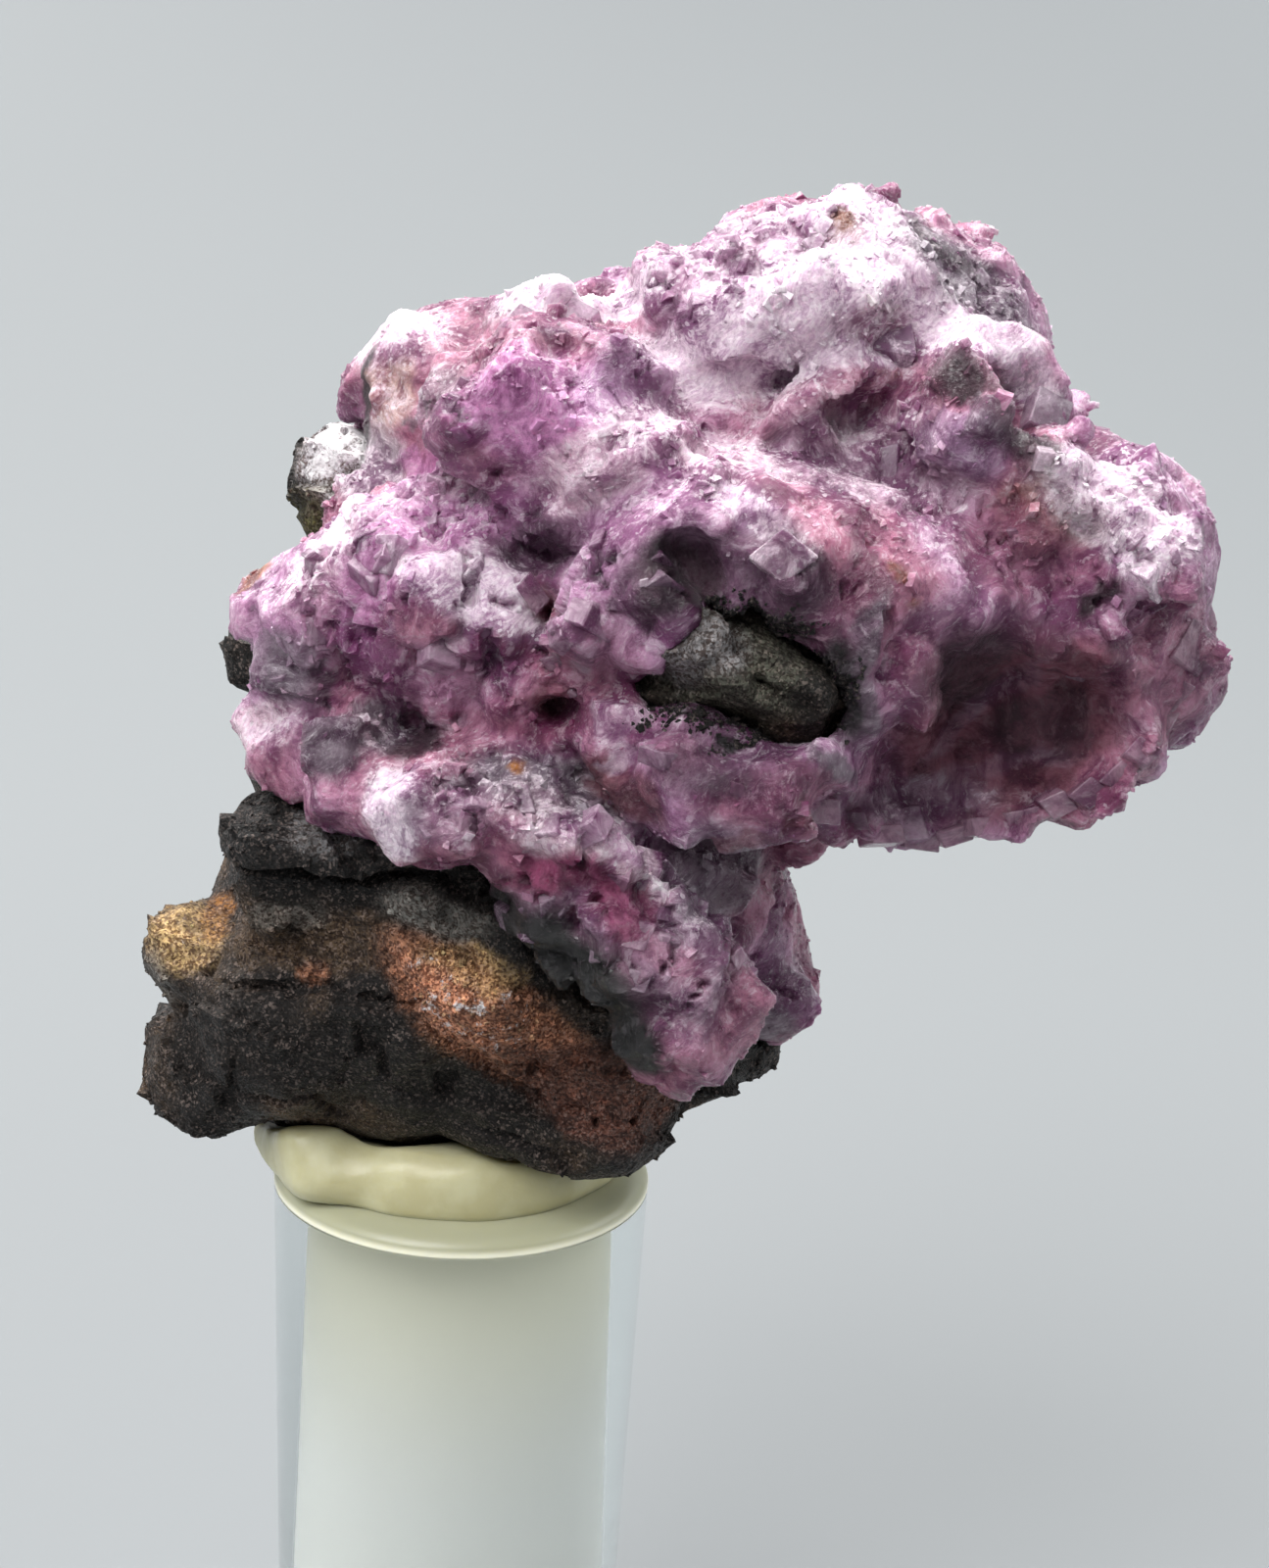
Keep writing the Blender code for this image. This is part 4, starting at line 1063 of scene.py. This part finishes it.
def rock_material():
    """Dark granular host rock: each mineral grain with its own shade, a few bright, on a rough surface."""
    material, tree, place = new_material("matrix_rock")
    tint = attribute(tree, "tint", "Color")
    frost = attribute(tree, "frost")
    lumps = noise(tree, place, 1.5, 3.0)
    grains = cell_numbers(tree, place, 9.45)
    small = cell_numbers(tree, place, 15.0)
    dark = mix_colours(tree, 1.0, tint, rgba((140, 124, 118)), "MULTIPLY")
    light = mix_colours(tree, 0.22, tint, rgba((220, 196, 186)))
    body = mix_colours(tree, ranged(tree, grains[0], 0.25, 0.75), dark, tint)
    body = mix_colours(tree, ranged(tree, grains[1], 0.80, 0.95, 0.0, 0.75), body, light)
    body = mix_colours(tree, ranged(tree, small[2], 0.84, 0.97, 0.0, 0.55), body, light)
    body = mix_colours(tree, ranged(tree, small[1], 0.70, 0.9, 0.0, 0.7), body, dark)
    cloudy = ranged(tree, noise(tree, place, 0.8, 7.0, 0.65, 0.5), 0.38, 0.62)
    body = mix_colours(tree, cloudy, mix_colours(tree, 0.55, body, rgba((22, 19, 18))), body)
    dust = noise(tree, place, 1.7, 7.0, 0.72, 0.2)
    edge = maths(tree, "SUBTRACT", 0.92, maths(tree, "MULTIPLY", frost, 0.55))
    dusting = ranged(tree, maths(tree, "SUBTRACT", dust, edge), -0.06, 0.05)
    body = mix_colours(tree, dusting, body, rgba((228, 224, 226)))
    rough = ranged(tree, small[0], 0.0, 1.0, 0.42, 0.85)
    facets = faceted(tree, place, ((3.0, 0.2), (9.0, 0.6)))
    normal = bumped(tree, maths(tree, "ADD", dust, lumps), facets, 0.3, 0.8)
    finish_with(
        tree,
        {"Base Color": body, "Roughness": rough, "Normal": normal, "IOR": 1.45, "Specular IOR Level": 0.35},
    )
    return material


def putty_material():
    """Cream putty, paler down the bore: the core pale, partly its own tone and partly painted light for what
    the glass takes, and the lip at the rim darker as painted shade; slightly waxy, faintly mottled, with a
    satin skin.
    """
    material, tree, place = new_material("cream_putty")
    mottle = ranged(tree, noise(tree, place, 0.5, 4.0), 0.35, 0.65)
    height = height_of(tree, place)
    upper = ranged(tree, height, POST_TOP - 14.0, POST_TOP)
    # The core is painted pale: partly the putty's own tone, partly painted light for the light the clear wall
    # takes from it
    core = mix_colours(tree, upper, rgba((255, 255, 250)), rgba((252, 248, 222)))
    pat = mix_colours(tree, mottle, rgba((186, 180, 140)), rgba((198, 194, 158)))
    # Painted shade: the lip at the rim is darker, so that where it is lit directly it matches the core seen
    # through the wall
    painted_shade_lip = rgba((166, 166, 140))
    body = mix_colours(tree, ranged(tree, height, POST_TOP - 0.3, POST_TOP), core, painted_shade_lip)
    body = mix_colours(tree, ranged(tree, height, POST_TOP + 0.4, POST_TOP + 0.7), body, pat)
    fleck = ranged(tree, noise(tree, place, 2.2, 5.0, 0.6), 0.74, 0.80, 0.0, 0.15)
    body = mix_colours(tree, fleck, body, rgba((176, 166, 130)))
    pressed = ranged(tree, height, POST_TOP + 0.2, POST_TOP + 0.8, 0.0, 0.4)
    normal = bumped(tree, noise(tree, place, 0.9, 4.0), plain_normal(tree), 0.15, pressed)
    finish_with(
        tree,
        {
            "Base Color": body,
            "Roughness": ranged(tree, noise(tree, place, 1.2, 3.0), 0.3, 0.7, 0.30, 0.42),
            "Normal": normal,
            "Subsurface Weight": ranged(tree, height, POST_TOP - 0.8, POST_TOP, 0.0, 0.5),
            "Subsurface Radius": (1.0, 0.9, 0.6),
            "Subsurface Scale": 1.2 * MM,
            "IOR": 1.48,
        },
    )
    return material


def post_material():
    """Clear acrylic with a faint green cast that deepens with thickness, hairline marks and a milky foot."""
    material, tree, place = new_material("clear_acrylic")
    marks = noise(tree, stretched(tree, place, (0.0, 0.0, 0.0), (0.4, 0.4, 6.0)), 1.0, 4.0, 0.6)
    clear = ranged(tree, height_of(tree, place), FOOT_HEIGHT, FOOT_HEIGHT + 2.0, FOOT_CLEAR, 1.0)
    output = finish_with(
        tree,
        {
            "Base Color": rgba((252, 254, 253)),
            "Roughness": ranged(tree, marks, 0.3, 0.8, 0.01, 0.04),
            "Transmission Weight": clear,
            "IOR": 1.49,
        },
    )
    soak = add_node(tree, "ShaderNodeVolumeAbsorption")
    soak.inputs["Color"].default_value = rgba((208, 226, 230))
    soak.inputs["Density"].default_value = 20.0
    tree.links.new(soak.outputs[0], output.inputs["Volume"])
    return material


def dress(made, material, crease, node):
    """Gives a piece its material and creases, hangs it under the root and hides the solid that it stands for.
    """
    mesh = made.data
    mesh.materials.clear()
    mesh.materials.append(material)
    mesh.polygons.foreach_set("material_index", np.zeros(len(mesh.polygons), np.int32))
    mesh.shade_smooth()
    mesh.set_sharp_from_angle(angle=math.radians(crease))
    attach(made, "root")
    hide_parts(node)
    return made


def set_in(made, material):
    """Gives a piece that is set in another its material and hangs it under the root."""
    made.data.materials.append(material)
    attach(made, "root")


def up_share(normals, low, high):
    """1 where a surface looks up, 0 where it doesn't."""
    return smooth_step(low, high, normals[:, 2])


def calcite_colours(points, normals):
    """The calcite's colour, frost and clearness at each point: whiter where it looks up, as painted light
    from above.
    """
    ground = mixed("rose", "lilac", smooth_step(-0.35, 0.30, cloud(points, 6.0, 4, 500)))
    colour, frost, clear = painted(points, ground, CALCITE_SPOTS, 600)
    # Painted light: frost added where the surface looks up, so the tops are whiter as if lit from above
    painted_top_light = PAINTED_TOP_LIGHT_GAIN * up_share(normals, 0.0, 0.9) - FROST_LOSS
    return colour, np.clip(frost + painted_top_light * smooth_step(0.0, 0.2, frost), 0.0, 1.0), clear


def grown_along(places):
    """The direction that the crystals in each place's domain share."""
    domain = np.floor(places / DOMAIN + 0.3 * cloud(places, 2.0, 2, GROWTH)[:, None]).astype(np.int64)
    return turned_frames(domain, GROWTH)[:, 0]


def single_crystals():
    """The named crystals, the row along the right lobe's lower edge, and the dark spikes."""
    singles = list(SINGLES)
    rng = np.random.default_rng(5)
    for x, y, lean in RIM_PIXELS:
        size = (*rng.uniform((0.8, 0.6), (1.5, 1.1)), 1.4)
        face = (rng.uniform(-0.1, 0.3), rng.uniform(-0.5, -0.1), 0.9)
        singles.append(("rim block", "rose", (x, y), size, face, lean + rng.uniform(-14, 14), 0.15))
    for x, y, lean in SPIKE_PIXELS:
        singles.append(("spike", "dusk", (x, y), (0.9, 0.9, 1.2), (-0.3, 0.4, 0.8), lean, 0.3))
    return singles


def sown_blocks(mesh, count, weight, rng, sizes, uneven, rises, spread):
    """Random blocks on a mesh, parallel within a domain: places, normals, middles and edge vectors.

    sizes is the least size, the range above it and the power that keeps most of them small. The edges
    differ by the share uneven. The faces tip by about spread and stand off by a share within rises.
    """
    places, outward = scattered(mesh, count, weight, rng)
    edge = sizes[0] + sizes[1] * rng.random(count) ** sizes[2]
    edges = edge[:, None] * rng.uniform(1.0 - uneven, 1.0 + uneven, (count, 3))
    rise = edge * rng.uniform(*rises, count)
    faces = tilted(outward, spread, rng)
    return places, outward, *cleavage_blocks(places, faces, grown_along(places), edges, rise)


def coloured_blocks(points, middles, frames, minerals, colour, frost, clear):
    """Gives the points within each crystal its own mineral: those about half its edges away or less."""
    for middle, sides, mineral in zip(middles, frames, minerals):
        near = np.flatnonzero(np.abs(points - middle).max(1) < np.linalg.norm(sides, axis=1).sum() / 2)
        parts = (points[near] - middle) @ np.linalg.inv(sides)
        own = near[np.abs(parts).max(1) < 0.56]
        rgb, mineral_frost, mineral_clear = MINERALS[mineral]
        colour[own] += 0.6 * (linear(rgb) - colour[own])
        frost[own] += 0.5 * (mineral_frost - frost[own])
        clear[own] = mineral_clear + 0.1


def make_calcite(material):
    """The calcite: the solid's form with swells, cleavage steps and fine ridges, then crystals fused on."""
    made = solid_copy("calcite_crystals", "calcite_mass", CALCITE_GRAIN, 3)
    points, normals = read_points(made.data)
    blocks = crystal_relief(
        points, normals, BIG_STEPS, STEP_BULK, domain=9.0, channel=100, low=-0.55, high=0.45
    )
    rise = 0.48 * blocks + 0.16 * cloud(points, 1.4, 4, 400) - 0.08 + pushed(points, CALCITE_PUSHES, 480)
    write_points(made.data, points + normals * rise[:, None])

    weight = 0.25 + zone_share(points, FACET_ZONES, FACET_EDGE)
    rng = np.random.default_rng(7)
    _, _, middles, frames = sown_blocks(
        made.data, 110, weight, rng, sizes=(0.7, 1.5, 2.0), uneven=0.3, rises=(0.02, 0.22), spread=0.55
    )
    singles = [single for single in single_crystals() if single[0] not in CRISP]
    own_middles, own_frames = single_blocks(singles)
    middles, frames = np.concatenate([middles, own_middles]), np.concatenate([frames, own_frames])
    join_crystals(made, middles, frames, CALCITE_GRAIN)

    points, normals = read_points(made.data)
    bare = zone_share(points, BARE_ZONES, BARE_EDGE)
    faced = zone_share(points, FACET_ZONES, FACET_EDGE)
    coarse = np.maximum(smooth_step(-0.25, 0.30, cloud(points, 3.5, 3, 460)) * (1.0 - bare), faced)
    steps = crystal_relief(
        points, normals, SMALL_STEPS, STEP_BULK, domain=6.0, channel=200, low=-0.28, high=0.28
    )
    # Fine grooves: noise drawn out fourfold along one slanted direction
    turned = points @ np.array([(0.9, 0.2, 0.4), (-0.3, 0.9, 0.2), (-0.35, -0.3, 0.9)])
    grooves = 0.25 - np.abs(cloud(turned * np.array((0.5, 2.0, 2.0)), 1.0, 4, 440))
    rise = (0.12 + 0.38 * coarse + 0.45 * faced) * steps + (0.08 + 0.20 * bare) * grooves
    points = inside_box(points + normals * rise[:, None], "calcite_crystals")
    write_points(made.data, points)
    looks = calcite_colours(points, normals)
    coloured_blocks(points, own_middles, own_frames, [single[1] for single in singles], *looks)
    store_looks(made.data, looks)
    return dress(made, material, 27.0, "calcite_crystals")


def make_glassy(mass, material, count):
    """Crisp glassy crystals sunk in the mass and paler than it: the smaller single ones, and a scatter."""
    singles = [single for single in single_crystals() if single[0] in CRISP]
    own_middles, own_frames = single_blocks(singles)
    points, _ = read_points(mass.data)
    weight = 0.04 + zone_share(points, FACET_ZONES, FACET_EDGE)
    rng = np.random.default_rng(17)
    places, outward, middles, frames = sown_blocks(
        mass.data, count, weight, rng, sizes=(0.35, 0.9, 2.2), uneven=0.4, rises=(-0.1, 0.12), spread=0.4
    )
    middles, frames = np.concatenate([own_middles, middles]), np.concatenate([own_frames, frames])
    colour, frost, _ = calcite_colours(places, outward)
    rows = [MINERALS[single[1]] for single in singles]
    colour = np.concatenate([linear([row[0] for row in rows]), colour])
    colour = 0.45 * colour + 0.55 * linear((240, 206, 230))
    frost = 0.6 * np.concatenate([[row[1] for row in rows], frost])
    made = new_object("calcite_faces", block_mesh("calcite_faces", middles, frames))
    store_looks(made.data, (colour, frost, np.full(len(colour), 0.6)), len(CUBE_CORNERS))
    bevel = made.modifiers.new("bevel", "BEVEL")
    bevel.width = 0.05 * MM
    bevel.segments = 1
    settled(made)
    keep_in_box(made, "calcite_crystals")
    set_in(made, material)


def make_druse(name, mass, material, count, sizes, spread, everywhere, seed):
    """A coat of small crystals on the mass, nearly parallel in a domain, more on tops and at the back."""
    points, normals = read_points(mass.data)
    rng = np.random.default_rng(seed)
    weight = everywhere + 0.30 * up_share(normals, -0.1, 0.8) + 0.35 * smooth_step(6.0, 10.0, points[:, 1])
    weight = np.maximum(weight, zone_share(points, DRUSE_ZONES, seed))
    weight *= 1.0 - 0.95 * zone_share(points, BARE_ZONES, seed + 5)
    weight *= smooth_step(-0.5, 0.3, cloud(points, 2.0, 3, 40 + seed))
    places, outward = scattered(mass.data, count, weight, rng)
    edge = sizes[0] + (sizes[1] - sizes[0]) * rng.random(count) ** 2.0
    edges = edge[:, None] * rng.uniform(0.5, 1.5, (count, 3))
    faces = tilted(outward, spread, rng)
    along = unit(grown_along(places) + rng.normal(0.0, 0.15, (count, 3)))
    middles, frames = cleavage_blocks(places, faces, along, edges, edge * rng.uniform(-0.1, 0.25, count))
    colour, frost, clear = calcite_colours(places, outward)
    frost = np.clip(frost + rng.uniform(-0.35, 0.05, count), 0, 1)
    made = block_piece(name, middles, frames, (colour, frost, clear), "calcite_crystals")
    set_in(made, material)


def make_rock():
    """The matrix: the solid's form broken into slanted layers, blocks and ledges.

    The layers are terraces: a surface rises with the fractional part t of the height along their
    normal, as t^3, and falls back where the next layer starts.
    """
    made = solid_copy("matrix_rock", "rock_matrix", ROCK_GRAIN, 3)
    points, normals = read_points(made.data)
    across = picture_direction(LAYER_NORMAL)
    level = points @ across / LAYER + 0.9 * cloud(points, 5.0, 4, 810)
    terrace = (level - np.floor(level)) ** 3
    terrace *= smooth_step(0.75, 0.3, np.abs(normals @ across))
    blocks = crystal_relief(
        points, normals, 2.6, (0.40, 0.66), domain=5.0, channel=700, low=-0.5, high=0.5
    )
    chips = crystal_relief(
        points, normals, 1.0, (0.36, 0.62), domain=2.5, channel=750, low=-0.2, high=0.25
    )
    rise = 0.38 * blocks + 0.20 * chips + 0.42 * terrace + 0.24 * cloud(points, 1.6, 4, 800) - 0.15
    rise += pushed(points, ROCK_PUSHES, 820)
    points = inside_box(points + normals * rise[:, None], "matrix_rock")
    write_points(made.data, points)
    store_looks(made.data, rock_colours(points))
    return dress(made, rock_material(), 32.0, "matrix_rock")


def rock_colours(points):
    """The rock's colour, frost and clearness at each point."""
    ground = mixed("dark rock", "umber", smooth_step(-0.1, 0.7, cloud(points, 3.0, 4, 900)))
    return painted(points, ground, ROCK_SPOTS, 950)


def make_grains(name, base, material, count, zones, everywhere, colours, node):
    """Rock grains set in a surface within a node's box, each of its own shade, thick where the zones say."""
    points, _ = read_points(base.data)
    rng = np.random.default_rng(31)
    weight = everywhere + zone_share(points, zones, 830)
    weight *= smooth_step(-0.5, 0.4, cloud(points, 1.6, 3, 840))
    places, outward = scattered(base.data, count, weight, rng)
    edge = 0.05 + 0.15 * rng.random(count) ** 2.0
    edges = edge[:, None] * rng.uniform(0.6, 1.5, (count, 3))
    along = rng.normal(0.0, 1.0, (count, 3))
    rise = edge * rng.uniform(0.0, 0.3, count)
    middles, frames = cleavage_blocks(places, tilted(outward, 0.6, rng), along, edges, rise)
    colour, frost, clear = colours(places)
    colour = np.clip(colour * rng.uniform(0.6, 1.9, (count, 1)), 0.0, 1.0)
    set_in(block_piece(name, middles, frames, (colour, frost, clear), node), material)


def black_colours(points):
    """The black mineral's colour, frost and clearness at each point."""
    return mixed("black mineral", "black mineral", np.zeros(len(points)))


def rounded_corner(corner, radius, start, stop, steps):
    """Points of a quarter round in the profile plane, about its own centre."""
    turns = np.radians(np.linspace(start, stop, steps))
    return np.stack([corner[0] + radius * np.cos(turns), corner[1] + radius * np.sin(turns)], 1)


def turned_mesh(name, profile, count):
    """A closed turned mesh: each profile point (radius, height) goes once round the post's axis.

    The profile starts and ends on the axis, where its ring is one point.
    """
    turns = np.linspace(0.0, 2.0 * math.pi, count, endpoint=False)
    ring = np.stack([np.cos(turns), np.sin(turns)], 1)
    inner = profile[1:-1]
    heights = np.broadcast_to(inner[:, None, 1:], (len(inner), count, 1))
    points = np.concatenate([inner[:, None, :1] * ring[None], heights], 2).reshape(-1, 3)
    here = np.arange(count)
    after = (here + 1) % count
    first = np.arange(len(inner) - 1)[:, None] * count
    second = first + count
    quads = np.stack([first + here, second + here, second + after, first + after], 2).reshape(-1, 4)
    start = np.full(count, len(points))
    last = (len(inner) - 1) * count
    caps = [np.stack([start, here, after], 1), np.stack([start + 1, last + after, last + here], 1)]
    points = np.concatenate([points, [[0, 0, profile[0, 1]], [0, 0, profile[-1, 1]]]])
    mesh = bpy.data.meshes.new(name)
    mesh.from_pydata((points * MM).tolist(), [], quads.tolist() + np.concatenate(caps).tolist())
    mesh.update()
    work = bmesh.new()
    work.from_mesh(mesh)
    bmesh.ops.recalc_face_normals(work, faces=work.faces)
    work.to_mesh(mesh)
    work.free()
    return mesh


def make_post():
    """The clear post: a tube with a rounded rim and a blind bore, grown out of a plain round foot.

    The profile goes up the bore, over the rim, down the outside that narrows a little, and under the foot.
    """
    edge = 0.4
    wall_radii = np.linspace(POST_RADIUS_TOP, POST_RADIUS_LOW, 14)
    wall_heights = np.linspace(POST_TOP - 0.5, FOOT_HEIGHT + 1.1, 14)
    profile = np.concatenate(
        [
            [(0.0, BORE_FLOOR), (BORE_RADIUS - edge, BORE_FLOOR)],
            rounded_corner((BORE_RADIUS - edge, BORE_FLOOR + edge), edge, -90, 0, 7),
            [(BORE_RADIUS, height) for height in np.linspace(BORE_FLOOR + 0.5, POST_TOP - 0.5, 12)],
            rounded_corner((BORE_RADIUS + edge, POST_TOP - edge), edge, 180, 90, 7),
            rounded_corner((POST_RADIUS_TOP - edge, POST_TOP - edge), edge, 90, 0, 7),
            np.stack([wall_radii, wall_heights], 1),
            rounded_corner((POST_RADIUS_LOW + 1.0, FOOT_HEIGHT + 1.0), 1.0, 180, 270, 9),
            rounded_corner((FOOT_RADIUS - edge, FOOT_HEIGHT - edge), edge, 90, 0, 7),
            rounded_corner((FOOT_RADIUS - edge, edge + FOOT_GAP), edge, 0, -90, 7),
            [(0.0, FOOT_GAP)],
        ]
    )
    made = new_object("clear_post", turned_mesh("clear_post", profile, 144))
    dress(made, post_material(), 40.0, "display_post")


def make_putty():
    """The putty: the solid's pat, softened and drawn in, joined to a core that wets the bore's wall.

    The core's profile starts under the pat, ends in a thin soft lip round the rim and goes down the bore.
    """
    made = solid_copy("mounting_putty", "putty_seat", PUTTY_GRAIN, 16)
    points, normals = read_points(made.data)
    points += normals * (0.04 * cloud(points, 3.0, 2, 1000))[:, None]
    reach = np.linalg.norm(points[:, :2], axis=1)
    left = smooth_step(-4.0, -7.0, points[:, 0])
    front = smooth_step(0.0, -4.0, points[:, 1])
    share = PAT_PULL - PAT_FRONT * front + (1.0 - PAT_PULL + PAT_FRONT_LEFT * front) * left
    drawn_in = np.where(reach > PAT_INNER, PAT_INNER + (reach - PAT_INNER) * share, reach)
    above = points[:, 2] > POST_TOP - 0.5
    points[:, :2] *= np.where(above, drawn_in / np.maximum(reach, 1e-6), 1.0)[:, None]
    write_points(made.data, inside_box(points, "mounting_putty"))
    radius = BORE_RADIUS + 0.02
    floor = BORE_FLOOR + 0.03
    profile = np.array(
        [
            (0.0, POST_TOP + 0.6),
            (5.6, POST_TOP + 0.55),
            (7.0, POST_TOP + 0.42),
            (7.45, POST_TOP + 0.26),
            (7.70, POST_TOP + 0.08),
            (7.80, POST_TOP - 0.14),
            (7.80, POST_TOP - 0.34),
            (7.6, POST_TOP - 0.5),
            (radius + 0.3, POST_TOP - 0.5),
            *((radius, height) for height in np.linspace(POST_TOP - 0.8, floor + 0.3, 24)),
            (radius - 0.3, floor),
            (0.0, floor),
        ]
    )
    core = new_object("core", turned_mesh("core", profile, 144))
    join = made.modifiers.new("join", "BOOLEAN")
    join.operation = "UNION"
    join.solver = "MANIFOLD"
    join.object = core
    settled(made)
    bpy.data.objects.remove(core)
    dress(made, putty_material(), 40.0, "mounting_putty")


def add_camera():
    """The photograph's camera."""
    data = bpy.data.cameras.new("photo_camera")
    data.lens = LENS
    data.sensor_width = SENSOR
    data.clip_start = 1.0 * MM
    data.clip_end = 10.0
    camera = bpy.data.objects.new("photo_camera", data)
    bpy.context.scene.collection.objects.link(camera)
    place = Matrix.Identity(4)
    for row in range(3):
        place[row][0] = RIGHT[row]
        place[row][1] = UP[row]
        place[row][2] = -FORWARD[row]
        place[row][3] = CAMERA_PLACE[row] * MM
    camera.matrix_world = place
    bpy.context.scene.camera = camera


def add_light(name, place, target, size, watts, colour):
    """A square soft light at a place in millimetres, turned to its target."""
    data = bpy.data.lights.new(name, "AREA")
    data.shape = "SQUARE"
    data.size = size * MM
    data.energy = watts
    data.color = colour
    light = bpy.data.objects.new(name, data)
    light.location = Vector(place) * MM
    light.rotation_euler = (Vector(target) - Vector(place)).to_track_quat("-Z", "Y").to_euler()
    bpy.context.scene.collection.objects.link(light)


def add_studio():
    """A pale floor that sweeps up into a backdrop, soft lights and an even surround."""
    width, front, depth, bend, height = 900.0, -700.0, 200.0, 480.0, 900.0
    turns = np.radians(np.linspace(-90, 0, 25))
    sweep = np.stack([depth + bend * np.cos(turns), bend + bend * np.sin(turns)], 1)
    profile = np.concatenate([[(front, 0.0)], sweep, [(depth + bend, height)]])
    y, z = np.repeat(profile, 2, 0).T
    points = np.stack([np.tile((-width, width), len(profile)), y, z], 1)
    row = np.arange(len(profile) - 1)[:, None] * 2
    floor = new_object("studio_floor", new_mesh("studio_floor", points, row + np.array([[0, 1, 3, 2]])))
    floor.data.shade_smooth()
    material, tree, _ = new_material("pale_paper")
    finish_with(tree, {"Base Color": rgba((112, 115, 117)), "Roughness": 0.9})
    floor.data.materials.append(material)
    for light in LIGHTS:
        add_light(*light)
    world = bpy.data.worlds.new("surround")
    world.use_nodes = True
    surround = world.node_tree.nodes["Background"].inputs
    surround["Color"].default_value = (0.86, 0.90, 0.92, 1.0)
    surround["Strength"].default_value = 0.22
    bpy.context.scene.world = world


add_camera()
add_studio()
calcite = calcite_material("cobaltoan_calcite", polish=(0.06, 0.22), tips=0.46, cloudy=0.7)
glassy = calcite_material("glassy_calcite", polish=(0.03, 0.12), tips=0.14, cloudy=0.3)
mass = make_calcite(calcite)
make_glassy(mass, glassy, count=210)
make_druse(
    "calcite_druse", mass, glassy, count=3000, sizes=(0.16, 0.42), spread=0.6, everywhere=0.02, seed=21
)
make_druse(
    "calcite_sparkle", mass, glassy, count=16000, sizes=(0.06, 0.15), spread=0.8, everywhere=0.30, seed=22
)
rock = make_rock()
stone = rock.data.materials[0]
make_grains("rock_grains", rock, stone, 9000, GRAIN_ZONES, 0.15, rock_colours, "matrix_rock")
make_grains("window_grains", mass, stone, 1500, WINDOW_ZONES, 0.0, black_colours, "calcite_crystals")
make_post()
make_putty()
scene = bpy.context.scene
scene.view_settings.view_transform = "Standard"
scene.cycles.max_bounces = 7
scene.cycles.diffuse_bounces = 2
scene.cycles.glossy_bounces = 2
scene.cycles.transmission_bounces = 7
